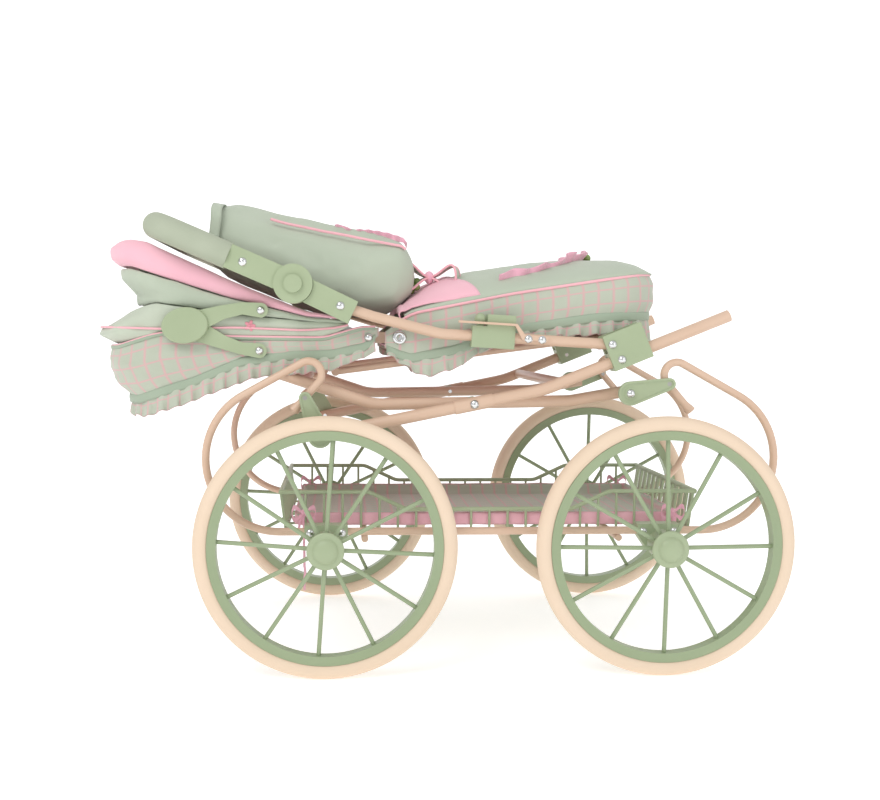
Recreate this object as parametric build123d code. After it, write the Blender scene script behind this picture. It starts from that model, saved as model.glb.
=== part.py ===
"""Doll's pram, folded flat for storage: chassis, scissor frame, swing-over handle, soft carrycot.

Millimetres, +Z up. +X runs from the hood end (front) to the foot end (rear), -Y is the pram's left.
The model is drawn about the middle of the wheelbase and moved to the shared origin on export.
"""
import os
from math import atan2, cos, degrees, hypot, radians, sin

from build123d import *

# ---------------------------------------------------------------- driving dimensions
# Wheels and axles
WHEELBASE = 390.0
TRACK = 380.0
WHEEL_R = 150.0
TYRE_THICK = 18.5
RIM_BAND = 8.5
RIM_WIDTH = 14.0
SPOKE_COUNT = 12
SPOKE_D = 5.0
SPOKE_DISH = 8.0
PARKED_TURN = {"front": 3.7, "rear": 0.0}
HUB_R = 17.0
HUB_LEN = 34.0
CAP_R = 21.5
CAP_RISE = 8.0
AXLE_D = 8.0
NUT_R = 7.0
NUT_LEN = 6.0
COLLAR_R = 7.5

# Rails, C springs and their hooks, one bent rod each side
ROD_D = 9.0
ROD_Y = 153.0
RAIL_Z = 162.0
C_RADIUS = 85.0
C_CENTRE_X = 249.0
C_TURN = 151.0
C_STRAIGHT = 77.0
HOOK_R = 15.0
HOOK_TURN = 160.0
HOOK_TAIL = 43.0
FLARE_R = 6.4
FLARE_LEN = 11.0

# Axle brackets
BRACKET_LEN = 50.0
BRACKET_BOLTS = 37.0
BRACKET_WALL = 4.5

# Basket
BASKET_LEN = 500.0
BASKET_WIDTH = 250.0
BASKET_END_H = 45.0
BASKET_MID_H = 24.0
BASKET_DIP = 100.0
BASKET_RAIL_D = 5.0
BASKET_WIRE_D = 3.5
BASKET_STICK_D = 3.0
BASKET_PITCH = 22.0
SLAT_W = 9.0
CROSS_BAR_X = 150.0
CROSS_BAR_D = 8.0
LINER_WALL = 2.5
LINER_H = 22.0

# Scissor frame and shackles
SHACKLE_LEN = 47.0
SHACKLE_THICK = 5.0
SHACKLE_WIDE_R = 14.0
SHACKLE_NARROW_R = 7.0
FRONT_SHACKLE_ALONG = 23.0
REAR_SHACKLE_ALONG = 0.5
FRONT_SHACKLE_ANGLE = -68.5
REAR_SHACKLE_ANGLE = 193.8
FOLD_HALF_ANGLE = 3.7
FRAME_D = 14.0
FRAME_WALL = 1.3
OUTER_Y = 150.0
INNER_Y = 127.0
SLEEVE_LEN = 46.0
SLEEVE_WALL = 1.1
OUTER_BEND_ALONG = 84.0
STUB_LEN = 235.0
STUB_TURN = 10.4
INNER_DIP_X = (95.0, -140.0)
INNER_LIFT = 2.3
INNER_BEND = 70.0
INNER_TIP = (-262.0, 349.0)
CROSS_TUBE_D = 12.0
CROSS_TUBE_WALL = 1.2
CROSS_TUBE_ALONG = 22.0
FRAME_PIN_D = 5.0

# Handle clamp on the stub of the outer tube
CLAMP_ALONG = 108.0
CLAMP_LEN = 48.0
CLAMP_BELOW = 10.0
CLAMP_ABOVE = 33.0
CLAMP_CHEEK = 4.5
PIVOT_ALONG = 92.0
PIVOT_ABOVE = 20.5

# Handle arm, latch collar and strip
ARM_D = 12.5
ARM_WALL = 1.2
ARM_ANGLE = 176.7
ARM_STRAIGHT = 200.0
ARM_CURVE = ((-140.0, 412.0), (-190.0, 427.5))
HINGE_BOLT = (-179.0, 424.1)
LATCH_FROM_PIVOT = 114.0
LATCH_LEN = 50.0
LATCH_BELOW = 13.0
LATCH_ABOVE = 12.0
LATCH_FORK = 26.0
STRIP_RISE = 15.5
STRIP_W = 5.5
STRIP_T = 2.6
ARM_BOLTS = (83.0, 99.0)

# Grip hinge and grip
HINGE_X = -233.0
HINGE_Z = 449.0
HINGE_R = 22.5
HINGE_BLOCK_W = 28.0
HINGE_LOWER_LEN = 76.0
HINGE_UPPER_LEN = 80.0
LOWER_ANGLE = -25.5
GRIP_ANGLE = 157.0
GRIP_LEN = 175.0
GRIP_CORNER = 34.0
GRIP_D = 31.0
BAR_D = 16.0
BUTTON_R = 10.5
BUTTON_OUT = 3.5

# Carrycot and hood
COT_HALF = 137.0
COT_FRONT_X = -458.0
COT_REAR_X = 200.0
COT_CORNER = 60.0
COT_WALL = 5.0
COT_SPLIT_X = -130.0
COT_GAP = 6.0
HEAD_FRONT_X = -442.0
HOOD_FRONT_X = -444.0
HOOD_PIVOT = (-146.0, 388.0)
STAY_FOOT = (-273.0, 372.0)
STAY_HEAD = (-271.0, 419.0)
STAY_ELBOW = (-358.0, 401.0)
STAY_W = 14.0
STAY_T = 3.2
COT_PIVOT_ALONG = 122.0
COT_PIVOT_ABOVE = 22.0
COT_BAR_D = 8.0
COT_CROSS_D = 10.0
COT_PIN_D = 6.0
COT_BAR_Y = 112.0
COT_BAR_SLOPE = 187.6
COT_BAR_LEN = 352.0
COT_EYELET = (-110.0, 388.0)
BOW_T = 2.0
BOW_W = 7.0

# Changing bag
BAG_HALF = 119.0

# Fits and clearances
RUN = 0.05
SEAT = 0.02
APART = 0.4

# ---------------------------------------------------------------- places worked out from them
AXLE_X = WHEELBASE / 2
WHEEL_Y = TRACK / 2
AXLE_Z = WHEEL_R
ORIGIN_SHIFT = -(COT_FRONT_X + AXLE_X + WHEEL_R) / 2


def unit(angle):
    """Unit vector in the XZ plane, the angle rising from +X towards +Z."""
    return (cos(radians(angle)), sin(radians(angle)))


def step(point, angle, distance, aside=0.0):
    """A point some distance along a direction and a distance to its left."""
    u = unit(angle)
    return (point[0] + u[0] * distance - u[1] * aside, point[1] + u[1] * distance + u[0] * aside)


C_CENTRE = (C_CENTRE_X, RAIL_Z + C_RADIUS)
C_TOP = step(C_CENTRE, C_TURN - 90, C_RADIUS)
HOOK_START = step(C_TOP, C_TURN, C_STRAIGHT)
HOOK_CENTRE = step(HOOK_START, C_TURN, 0, HOOK_R)
TAIL_ANGLE = C_TURN + HOOK_TURN
TAIL_START = step(HOOK_CENTRE, TAIL_ANGLE, 0, -HOOK_R)
TAIL_END = step(TAIL_START, TAIL_ANGLE, HOOK_TAIL)
REAR_HANGER = step(TAIL_START, TAIL_ANGLE, REAR_SHACKLE_ALONG)
FRONT_HANGER_MIRROR = step(TAIL_START, TAIL_ANGLE, FRONT_SHACKLE_ALONG)
FRONT_HANGER = (-FRONT_HANGER_MIRROR[0], FRONT_HANGER_MIRROR[1])
FRONT_PIN = step(FRONT_HANGER, FRONT_SHACKLE_ANGLE, SHACKLE_LEN)
REAR_PIN = step(REAR_HANGER, REAR_SHACKLE_ANGLE, SHACKLE_LEN)
PIN_SPAN = hypot(REAR_PIN[0] - FRONT_PIN[0], REAR_PIN[1] - FRONT_PIN[1])
PIN_LINE = degrees(atan2(REAR_PIN[1] - FRONT_PIN[1], REAR_PIN[0] - FRONT_PIN[0]))
OUTER_ANGLE = PIN_LINE + FOLD_HALF_ANGLE
CENTRE = step(FRONT_PIN, OUTER_ANGLE, PIN_SPAN / 2 / cos(radians(FOLD_HALF_ANGLE)))
BEND = step(CENTRE, OUTER_ANGLE, OUTER_BEND_ALONG)
STUB_ANGLE = OUTER_ANGLE + STUB_TURN
STUB_END = step(BEND, STUB_ANGLE, STUB_LEN)
CLAMP_CENTRE = step(BEND, STUB_ANGLE, CLAMP_ALONG)
ARM_PIVOT = step(BEND, STUB_ANGLE, PIVOT_ALONG, PIVOT_ABOVE)
COT_PIVOT = step(BEND, STUB_ANGLE, COT_PIVOT_ALONG, COT_PIVOT_ABOVE)
HINGE = (HINGE_X, HINGE_Z)
GRIP_END = step(HINGE, GRIP_ANGLE, GRIP_LEN)
SHACKLE_Y = ROD_Y + ROD_D / 2 + APART
SHACKLE_OUT = SHACKLE_Y + SHACKLE_THICK
ARM_HALF = ARM_D / 2
CLAMP_HALF = FRAME_D / 2 + 0.3
CLAMP_OUT = OUTER_Y + CLAMP_HALF + CLAMP_CHEEK
CLAMP_IN = OUTER_Y - CLAMP_HALF - CLAMP_CHEEK

# ---------------------------------------------------------------- shape helpers


def at(point, y):
    """A point of the XZ plane at a sideways position."""
    return (point[0], y, point[1])


def plate(points, y_from, y_to):
    """A flat outline in XZ, given thickness between two sideways positions."""
    face = make_face(Polyline(*[at(p, y_from) for p in points], close=True))
    return extrude(face, amount=y_to - y_from, dir=(0, 1, 0))


def rod(centre, radius, y_from, y_to):
    """A round rod along Y."""
    plane = Plane(origin=at(centre, y_from), z_dir=(0, 1, 0))
    return extrude(plane * Circle(radius), amount=y_to - y_from)


def link(a, radius_a, b, radius_b, y_from, y_to):
    """A flat link: two round ends joined by their common tangents."""
    plane = Plane(origin=at(a, y_from), x_dir=(1, 0, 0), z_dir=(0, -1, 0))
    gap = (b[0] - a[0], b[1] - a[1])
    edges = Circle(radius_a).edges() + (Pos(gap[0], gap[1]) * Circle(radius_b)).edges()
    return extrude(plane * make_hull(edges), amount=y_to - y_from, dir=(0, 1, 0))


def pipe(points, diameter, bend, bore=0.0):
    """A bent rod or tube through space points."""
    path = FilletPolyline(*points, radius=bend) if len(points) > 2 else Line(*points)
    plane = Plane(origin=path @ 0, z_dir=path % 0)
    body = sweep(plane * Circle(diameter / 2), path=path)
    return body - sweep(plane * Circle(bore / 2), path=path) if bore else body


def slab(centre, angle, length, below, above, y_from, y_to):
    """A box lying along a direction in XZ, measured from its middle."""
    ends = (-length / 2, length / 2)
    corners = [step(centre, angle, ends[0], -below), step(centre, angle, ends[1], -below)]
    corners += [step(centre, angle, ends[1], above), step(centre, angle, ends[0], above)]
    return plate(corners, y_from, y_to)


def dome_bolt(centre, y_face, y_tip, head=5.2, shank=2.5, rise=3.2):
    """A round-headed bolt on the left side; its head sits on y_face and its shank runs inwards."""
    ball = (head**2 + rise**2) / (2 * rise)
    plane = Plane(origin=at(centre, -y_face), z_dir=(0, -1, 0))
    cap = plane * Pos(0, 0, rise - ball) * Sphere(ball)
    head_part = cap & (plane * Pos(0, 0, rise / 2) * Cylinder(head * 1.2, rise))
    return head_part + rod(centre, shank, -y_face, -y_tip)


def across(shape):
    """The same piece on the pram's right side."""
    return mirror(shape, about=Plane.XZ)


def pair(shape):
    """A piece and its twin on the other side."""
    return [shape, across(shape)]


def save(name, *shapes):
    """Write one node, moved to the shared origin."""
    solids = [s for shape in shapes for s in shape.solids()]
    moved = [Pos(ORIGIN_SHIFT, 0, 0) * s for s in solids]
    export_step(moved[0] if len(moved) == 1 else Compound(children=moved), f"parts/{name}.step")


os.makedirs("parts", exist_ok=True)

# ---------------------------------------------------------------- wheels


def ring(r_in, r_out, y_from, y_to):
    """A flat ring about the Y axis."""
    return rod((0, 0), r_out, y_from, y_to) - rod((0, 0), r_in, y_from - 1, y_to + 1)


def tyre():
    """Solid rubber tyre, round in section."""
    return Rot(90, 0, 0) * Torus(WHEEL_R - TYRE_THICK / 2, TYRE_THICK / 2)


def wheel_spider():
    """Moulded rim, spokes and hub of a left wheel, its outer face towards -Y."""
    rim_out = WHEEL_R - TYRE_THICK + 2.0
    rim_in = WHEEL_R - TYRE_THICK - RIM_BAND
    rim = ring(rim_in, rim_out, -RIM_WIDTH / 2, RIM_WIDTH / 2)
    groove = Rot(90, 0, 0) * Torus(WHEEL_R - TYRE_THICK / 2, TYRE_THICK / 2 + SEAT)
    hub = rod((0, 0), HUB_R, -HUB_LEN / 2, HUB_LEN / 2)
    spokes = []
    for i in range(SPOKE_COUNT):
        u = unit(i * 360 / SPOKE_COUNT)
        inner = (u[0] * HUB_R * 0.7, -SPOKE_DISH, u[1] * HUB_R * 0.7)
        outer = (u[0] * (rim_in + 3), 0, u[1] * (rim_in + 3))
        spokes.append(pipe([inner, outer], SPOKE_D, 0))
    body = rim - groove + hub + spokes
    bore = rod((0, 0), AXLE_D / 2 + RUN, -HUB_LEN, HUB_LEN)
    recess = rod((0, 0), NUT_R + 2.0, -HUB_LEN / 2 - 1, -HUB_LEN / 2 + NUT_LEN + 3.0)
    return body - bore - recess


def hub_cap():
    """Two-step snap-on cap over the outer end of a left hub."""
    face = -HUB_LEN / 2
    flange = rod((0, 0), CAP_R, face - CAP_RISE * 0.45, face)
    crown = rod((0, 0), CAP_R * 0.85, face - CAP_RISE, face - CAP_RISE * 0.45)
    crown = fillet(crown.edges().group_by(Axis.Y)[0], CAP_RISE * 0.3)
    return flange + crown


TYRE = tyre()
SPIDER = wheel_spider()
CAP = hub_cap()
for end, x in (("front", -AXLE_X), ("rear", AXLE_X)):
    for side, y in (("left", -WHEEL_Y), ("right", WHEEL_Y)):
        place = Pos(x, y, AXLE_Z) * Rot(0, PARKED_TURN[end], 0)
        spider = SPIDER if side == "left" else across(SPIDER)
        cap = CAP if side == "left" else across(CAP)
        save(f"wheel_{end}_{side}", place * spider)
        save(f"tyre_{end}_{side}", place * TYRE)
        save(f"hub_cap_{end}_{side}", place * cap)

AXLE_TIP = WHEEL_Y + HUB_LEN / 2 - 2.0
NUT_IN = AXLE_TIP - NUT_LEN
BRACKET_OUT = ROD_Y + ROD_D / 2 + BRACKET_WALL
BRACKET_IN = ROD_Y - ROD_D / 2 - BRACKET_WALL
nuts = []
collars = []
for x in (-AXLE_X, AXLE_X):
    centre = (x, AXLE_Z)
    hole = rod(centre, AXLE_D / 2 + SEAT, -WHEEL_Y * 2, WHEEL_Y * 2)
    nuts += pair(rod(centre, NUT_R, -AXLE_TIP, -NUT_IN) - hole)
    collar = rod(centre, COLLAR_R, -WHEEL_Y + HUB_LEN / 2 + APART, -BRACKET_OUT - SEAT)
    collars += pair(collar - hole)
save("axles", *[rod((x, AXLE_Z), AXLE_D / 2, -AXLE_TIP, AXLE_TIP) for x in (-AXLE_X, AXLE_X)])
save("axle_nuts", *nuts)
save("axle_spacers", *collars)

# ---------------------------------------------------------------- rails and C springs


def spring_half():
    """Rear half of one bent rod: rail, C spring, hook and flared tail, on y = 0."""
    rail = Line((0, 0, RAIL_Z), (C_CENTRE[0], 0, RAIL_Z))
    belly = at(step(C_CENTRE, C_TURN / 2 - 90, C_RADIUS), 0)
    bow = ThreePointArc(rail @ 1, belly, at(C_TOP, 0))
    rise = Line(bow @ 1, at(HOOK_START, 0))
    hook_top = at(step(HOOK_CENTRE, C_TURN + HOOK_TURN / 2, 0, -HOOK_R), 0)
    hook = ThreePointArc(rise @ 1, hook_top, at(TAIL_START, 0))
    tail = Line(hook @ 1, at(TAIL_END, 0))
    path = Wire([rail, bow, rise, hook, tail])
    body = sweep(Plane(origin=(0, 0, RAIL_Z), z_dir=(1, 0, 0)) * Circle(ROD_D / 2), path=path)
    mouth = Plane(origin=at(TAIL_END, 0), z_dir=at(unit(TAIL_ANGLE), 0))
    flare = mouth * Pos(0, 0, -FLARE_LEN / 2) * Cone(ROD_D / 2, FLARE_R, FLARE_LEN)
    bore = mouth * Cylinder(ROD_D / 2, FLARE_LEN)
    return body + flare - bore


def bracket_bolt_places():
    """Centres of the four bolts that hold one rod in its two axle brackets."""
    return [(s * AXLE_X + t * BRACKET_BOLTS / 2, RAIL_Z) for s in (-1, 1) for t in (-1, 1)]


half = spring_half()
rod_left = Pos(0, -ROD_Y, 0) * (half + mirror(half, about=Plane.YZ))
for centre in bracket_bolt_places():
    rod_left -= rod(centre, 2.0 + SEAT, -ROD_Y - ROD_D, -ROD_Y + ROD_D)
for hanger in (FRONT_HANGER, REAR_HANGER):
    rod_left -= rod(hanger, FRAME_PIN_D / 2 + SEAT, -ROD_Y - ROD_D, -ROD_Y + ROD_D)
save("c_springs", *pair(rod_left))

brackets = []
bracket_bolts = []
for x in (-AXLE_X, AXLE_X):
    foot = AXLE_Z - AXLE_D / 2 - BRACKET_WALL
    head = RAIL_Z + ROD_D / 2 + BRACKET_WALL
    wide = BRACKET_LEN / 2
    outline = [(x - wide * 0.55, foot), (x + wide * 0.55, foot), (x + wide, RAIL_Z - 4)]
    outline += [(x + wide, head), (x - wide, head), (x - wide, RAIL_Z - 4)]
    block = plate(outline, -BRACKET_OUT, -BRACKET_IN)
    block -= Pos(x, -ROD_Y, RAIL_Z) * Rot(0, 90, 0) * Cylinder(ROD_D / 2 + SEAT, BRACKET_LEN * 2)
    block -= rod((x, AXLE_Z), AXLE_D / 2 + SEAT, -WHEEL_Y, 0)
    for t in (-1, 1):
        centre = (x + t * BRACKET_BOLTS / 2, RAIL_Z)
        block -= rod(centre, 2.0 + SEAT, -WHEEL_Y, 0)
        bolt = dome_bolt(centre, BRACKET_OUT, BRACKET_IN, head=4.8, shank=2.0, rise=2.8)
        bracket_bolts += pair(bolt)
    brackets += pair(block)
save("axle_brackets", *brackets)
save("bracket_bolts", *bracket_bolts)

CROSS_BAR_Z = RAIL_Z - ROD_D / 2 - CROSS_BAR_D / 2 - APART
bars = [rod((x, CROSS_BAR_Z), CROSS_BAR_D / 2, -ROD_Y, ROD_Y) for x in (-CROSS_BAR_X, CROSS_BAR_X)]
save("rail_cross_bars", *bars)

# ---------------------------------------------------------------- basket
BASKET_FLOOR = CROSS_BAR_Z + CROSS_BAR_D / 2 + APART + BASKET_WIRE_D / 2


def basket_height(x):
    """Height of the top rail above the floor wires: high at the ends, dipped in the middle."""
    slope = (abs(x) - BASKET_DIP) / (BASKET_DIP * 0.45)
    rise = min(max(slope, 0.0), 1.0)
    return BASKET_MID_H + (BASKET_END_H - BASKET_MID_H) * rise


def basket_frame():
    """Moulded basket frame: dipped top rail, floor loop, side balusters and slatted ends."""
    half_l = BASKET_LEN / 2
    half_w = BASKET_WIDTH / 2
    top = [(-half_l, BASKET_END_H), (-BASKET_DIP * 1.45, BASKET_END_H), (-BASKET_DIP, BASKET_MID_H)]
    top += [(-p[0], p[1]) for p in reversed(top)]
    side = [(x, -half_w, BASKET_FLOOR + h) for x, h in top]
    rail = pipe(side, BASKET_RAIL_D, 20)
    parts = [across(rail)]
    for s in (-1, 1):
        end = [(s * (half_l - 1), t * (half_w + 1.5), BASKET_FLOOR + BASKET_END_H) for t in (-1, 1)]
        parts.append(pipe(end, BASKET_RAIL_D + 1.0, 0))
        foot = [(s * (half_l - 7), t * (half_w + 1), BASKET_FLOOR) for t in (-1, 1)]
        parts.append(pipe(foot, BASKET_WIRE_D + 0.8, 0))
        floor = [(t * (half_l - 6), s * half_w, BASKET_FLOOR) for t in (-1, 1)]
        parts.append(pipe(floor, BASKET_WIRE_D, 0))
        slats = int(BASKET_WIDTH / (SLAT_W * 2))
        for i in range(slats):
            y = (i - (slats - 1) / 2) * BASKET_WIDTH / slats
            tip = BASKET_FLOOR + BASKET_END_H
            ends = [(s * (half_l - 7.5), BASKET_FLOOR), (s * (half_l - 4.5), BASKET_FLOOR)]
            ends += [(s * (half_l + 1.5), tip), (s * (half_l - 1.5), tip)]
            parts.append(plate(ends, y - SLAT_W / 2, y + SLAT_W / 2))
    count = int((half_l - 10) / BASKET_PITCH)
    for i in range(-count, count + 1):
        x = i * BASKET_PITCH
        for s in (-1, 1):
            ends = [(x, s * half_w, BASKET_FLOOR), (x, s * half_w, BASKET_FLOOR + basket_height(x))]
            parts.append(pipe(ends, BASKET_STICK_D, 0))
    for i in (-2, -1, 0, 1, 2):
        y = i * BASKET_WIDTH / 6
        wire = [(-half_l + 6, y, BASKET_FLOOR), (half_l - 6, y, BASKET_FLOOR)]
        parts.append(pipe(wire, BASKET_STICK_D, 0))
    return rail + parts


def basket_liner():
    """Fabric tray lying in the basket, open at the top."""
    foot = BASKET_FLOOR + BASKET_WIRE_D / 2 + APART
    length = BASKET_LEN - 34
    width = BASKET_WIDTH - BASKET_RAIL_D - 3
    outer = Pos(0, 0, foot + LINER_H / 2) * Box(length, width, LINER_H)
    outer = fillet(outer.edges().filter_by(Axis.Z), 12)
    room = Pos(0, 0, foot + LINER_WALL + LINER_H) * Box(
        length - 2 * LINER_WALL, width - 2 * LINER_WALL, LINER_H * 2
    )
    return outer - room


def ribbon_bows():
    """Four flat ribbon bows tied to the basket's corners; the front left one has a long tail."""
    out = BASKET_WIDTH / 2 + BASKET_STICK_D / 2 + APART
    parts = []
    for x in (-222.0, 222.0):
        bow = plate([(x - 18, 168), (x, 176), (x + 18, 168), (x + 18, 194), (x, 186), (x - 18, 194)],
            -out - 4, -out)
        tail = plate([(x - 2, 90), (x + 3, 90), (x + 3, 182), (x - 2, 182)], -out - 3, -out - 1)
        parts += [bow + tail if x < 0 else bow, across(bow)]
    return parts


save("basket_frame", basket_frame())
save("basket_liner", basket_liner())
save("ribbon_bows", *ribbon_bows())

# ---------------------------------------------------------------- shackles


def shackle(hanger, pin):
    """Left shackle with a raised rim: narrow end on the hook's tail, wide end at the frame pin."""
    body = link(pin, SHACKLE_WIDE_R, hanger, SHACKLE_NARROW_R, -SHACKLE_OUT, -SHACKLE_Y)
    rim = 2.6
    dish = link(pin, SHACKLE_WIDE_R - rim, hanger, SHACKLE_NARROW_R - rim, -SHACKLE_OUT, -SHACKLE_OUT + 1.0)
    boss = rod(pin, 7.0, -SHACKLE_OUT, -SHACKLE_OUT + 1.0)
    eye = rod(hanger, FRAME_PIN_D / 2 + RUN, -SHACKLE_OUT, -SHACKLE_Y)
    hole = rod(pin, FRAME_PIN_D / 2 + RUN, -SHACKLE_OUT, -SHACKLE_Y)
    return body - dish + boss - eye - hole


def hanger_pin(hanger):
    """Pin fixed across the hook's tail; the shackle turns on it behind a thin head."""
    shank = rod(hanger, FRAME_PIN_D / 2, -SHACKLE_OUT + 1.2, -ROD_Y + ROD_D / 2)
    return shank


save("front_shackles", *pair(shackle(FRONT_HANGER, FRONT_PIN)))
save("rear_shackles", *pair(shackle(REAR_HANGER, REAR_PIN)))
save("hanger_pins", *pair(hanger_pin(FRONT_HANGER)), *pair(hanger_pin(REAR_HANGER)))

# ---------------------------------------------------------------- scissor frame


INNER_REAR = step(REAR_PIN, 13, FRAME_D * 0.6)
INNER_DIPS = [(INNER_DIP_X[0], CENTRE[1] + INNER_LIFT), (INNER_DIP_X[1], CENTRE[1] - INNER_LIFT)]
INNER_PATH = [at(p, -INNER_Y) for p in (INNER_REAR, *INNER_DIPS, INNER_TIP)]


def outer_frame():
    """Welded outer pair of scissor tubes with their cross tube; the rear stubs stay open."""
    start = step(FRONT_PIN, OUTER_ANGLE, -FRAME_D * 0.6)
    path = [at(start, -OUTER_Y), at(BEND, -OUTER_Y), at(STUB_END, -OUTER_Y)]
    tube = pipe(path, FRAME_D, 140, FRAME_D - 2 * FRAME_WALL)
    tube -= rod(CENTRE, FRAME_PIN_D / 2 + SEAT, -OUTER_Y - FRAME_D, -OUTER_Y + FRAME_D)
    tube -= rod(FRONT_PIN, FRAME_PIN_D / 2 + SEAT, -OUTER_Y - FRAME_D, -OUTER_Y + FRAME_D)
    clamp_bolt = step(CLAMP_CENTRE, STUB_ANGLE, -CLAMP_LEN / 4)
    tube -= rod(clamp_bolt, FRAME_PIN_D / 2 + SEAT, -OUTER_Y - FRAME_D, -OUTER_Y + FRAME_D)
    place = step(BEND, STUB_ANGLE, CROSS_TUBE_ALONG)
    reach = OUTER_Y - FRAME_D / 2 + FRAME_WALL / 2
    cross = rod(place, CROSS_TUBE_D / 2, -reach, reach) - rod(place, CROSS_TUBE_D / 2 - CROSS_TUBE_WALL,
        -reach - 1, reach + 1)
    return tube + across(tube) + cross


def inner_frame():
    """Welded inner pair of scissor tubes with their cross tube."""
    tube = pipe(INNER_PATH, FRAME_D, INNER_BEND, FRAME_D - 2 * FRAME_WALL)
    tube -= rod(CENTRE, FRAME_PIN_D / 2 + RUN, -INNER_Y - FRAME_D, -INNER_Y + FRAME_D)
    place = step(INNER_TIP, -20, 42)
    reach = INNER_Y - FRAME_D / 2 + FRAME_WALL / 2
    cross = rod(place, CROSS_TUBE_D / 2, -reach, reach) - rod(place, CROSS_TUBE_D / 2 - CROSS_TUBE_WALL,
        -reach - 1, reach + 1)
    return tube + across(tube) + cross


def sleeve():
    """Left sleeve round the outer tube at the scissor centre."""
    a = at(step(CENTRE, OUTER_ANGLE, -SLEEVE_LEN / 2), -OUTER_Y)
    b = at(step(CENTRE, OUTER_ANGLE, SLEEVE_LEN / 2), -OUTER_Y)
    tube = pipe([a, b], FRAME_D + 2 * SLEEVE_WALL, 0, FRAME_D + 2 * SEAT)
    return tube - rod(CENTRE, FRAME_PIN_D / 2 + SEAT, -OUTER_Y - FRAME_D, -OUTER_Y + FRAME_D)


def handle_clamp():
    """Left clamp: grips the stub below and holds the handle arm between two cheeks above."""
    block = slab(CLAMP_CENTRE, STUB_ANGLE, CLAMP_LEN, CLAMP_BELOW, CLAMP_ABOVE, -CLAMP_OUT, -CLAMP_IN)
    a = at(step(CLAMP_CENTRE, STUB_ANGLE, -CLAMP_LEN), -OUTER_Y)
    b = at(step(CLAMP_CENTRE, STUB_ANGLE, CLAMP_LEN), -OUTER_Y)
    block -= pipe([a, b], FRAME_D + 2 * SEAT, 0)
    top = PIVOT_ABOVE - ARM_HALF - 2.5
    slot_y = (-OUTER_Y - ARM_HALF - 0.5, -OUTER_Y + ARM_HALF + 0.5)
    block -= slab(CLAMP_CENTRE, STUB_ANGLE, CLAMP_LEN + 2, -top, CLAMP_ABOVE + 1, *slot_y)
    for centre in (ARM_PIVOT, step(CLAMP_CENTRE, STUB_ANGLE, -CLAMP_LEN / 4)):
        block -= rod(centre, FRAME_PIN_D / 2 + SEAT, -CLAMP_OUT - 1, -CLAMP_IN + 1)
    block -= rod(COT_PIVOT, COT_PIN_D / 2 + RUN, -OUTER_Y, -CLAMP_IN + 1)
    return block


save("outer_frame_tubes", outer_frame())
save("inner_frame_tubes", inner_frame())
save("centre_sleeves", *pair(sleeve()))
save("handle_clamps", *pair(handle_clamp()))
centre_bolt = dome_bolt(CENTRE, OUTER_Y + FRAME_D / 2 + SLEEVE_WALL, INNER_Y - FRAME_D / 2)
clamp_bolt = dome_bolt(step(CLAMP_CENTRE, STUB_ANGLE, -CLAMP_LEN / 4), CLAMP_OUT, CLAMP_IN)
pivot_bolt = dome_bolt(ARM_PIVOT, CLAMP_OUT, CLAMP_IN)
save("frame_bolts", *pair(centre_bolt), *pair(clamp_bolt), *pair(pivot_bolt))
shackle_bolt = dome_bolt(FRONT_PIN, SHACKLE_OUT + SEAT, OUTER_Y - FRAME_D / 2)
save("front_shackle_bolts", *pair(shackle_bolt))
rear_bolt = dome_bolt(REAR_PIN, SHACKLE_OUT + SEAT, SHACKLE_Y)
save("rear_shackle_bolts", *pair(rear_bolt))
inner_seat = pipe(INNER_PATH, FRAME_D + 2 * SEAT, INNER_BEND)
rear_bush = rod(REAR_PIN, 6.0, -SHACKLE_Y + APART, -INNER_Y) - inner_seat
centre_face = OUTER_Y - FRAME_D / 2 - SLEEVE_WALL - APART
centre_bush = rod(CENTRE, 8.0, -centre_face, -INNER_Y - FRAME_D / 2 + 1.5) - inner_seat
centre_bush -= rod(CENTRE, FRAME_PIN_D / 2 + RUN, -OUTER_Y, -INNER_Y + FRAME_D)
save("frame_bushes", *pair(rear_bush), *pair(centre_bush))

# ---------------------------------------------------------------- handle arms


ARM_BEND = step(ARM_PIVOT, ARM_ANGLE, ARM_STRAIGHT)


def arm_holes(shape):
    """Cut the cross holes for the pivot bolt, the two strip bolts and the hinge bolt."""
    shape -= rod(ARM_PIVOT, FRAME_PIN_D / 2 + RUN, -OUTER_Y - ARM_D, -OUTER_Y + ARM_D)
    for centre in (*[step(ARM_PIVOT, ARM_ANGLE, d) for d in ARM_BOLTS], HINGE_BOLT):
        shape -= rod(centre, 2.0 + SEAT, -OUTER_Y - ARM_D, -OUTER_Y + ARM_D)
    return shape


def handle_arm():
    """Left handle arm: straight past the latch, then curved up to the grip hinge."""
    start = step(ARM_PIVOT, ARM_ANGLE, -ARM_HALF)
    path = [at(p, -OUTER_Y) for p in (start, ARM_BEND, *ARM_CURVE)]
    return arm_holes(pipe(path, ARM_D, 60, ARM_D - 2 * ARM_WALL))


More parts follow.
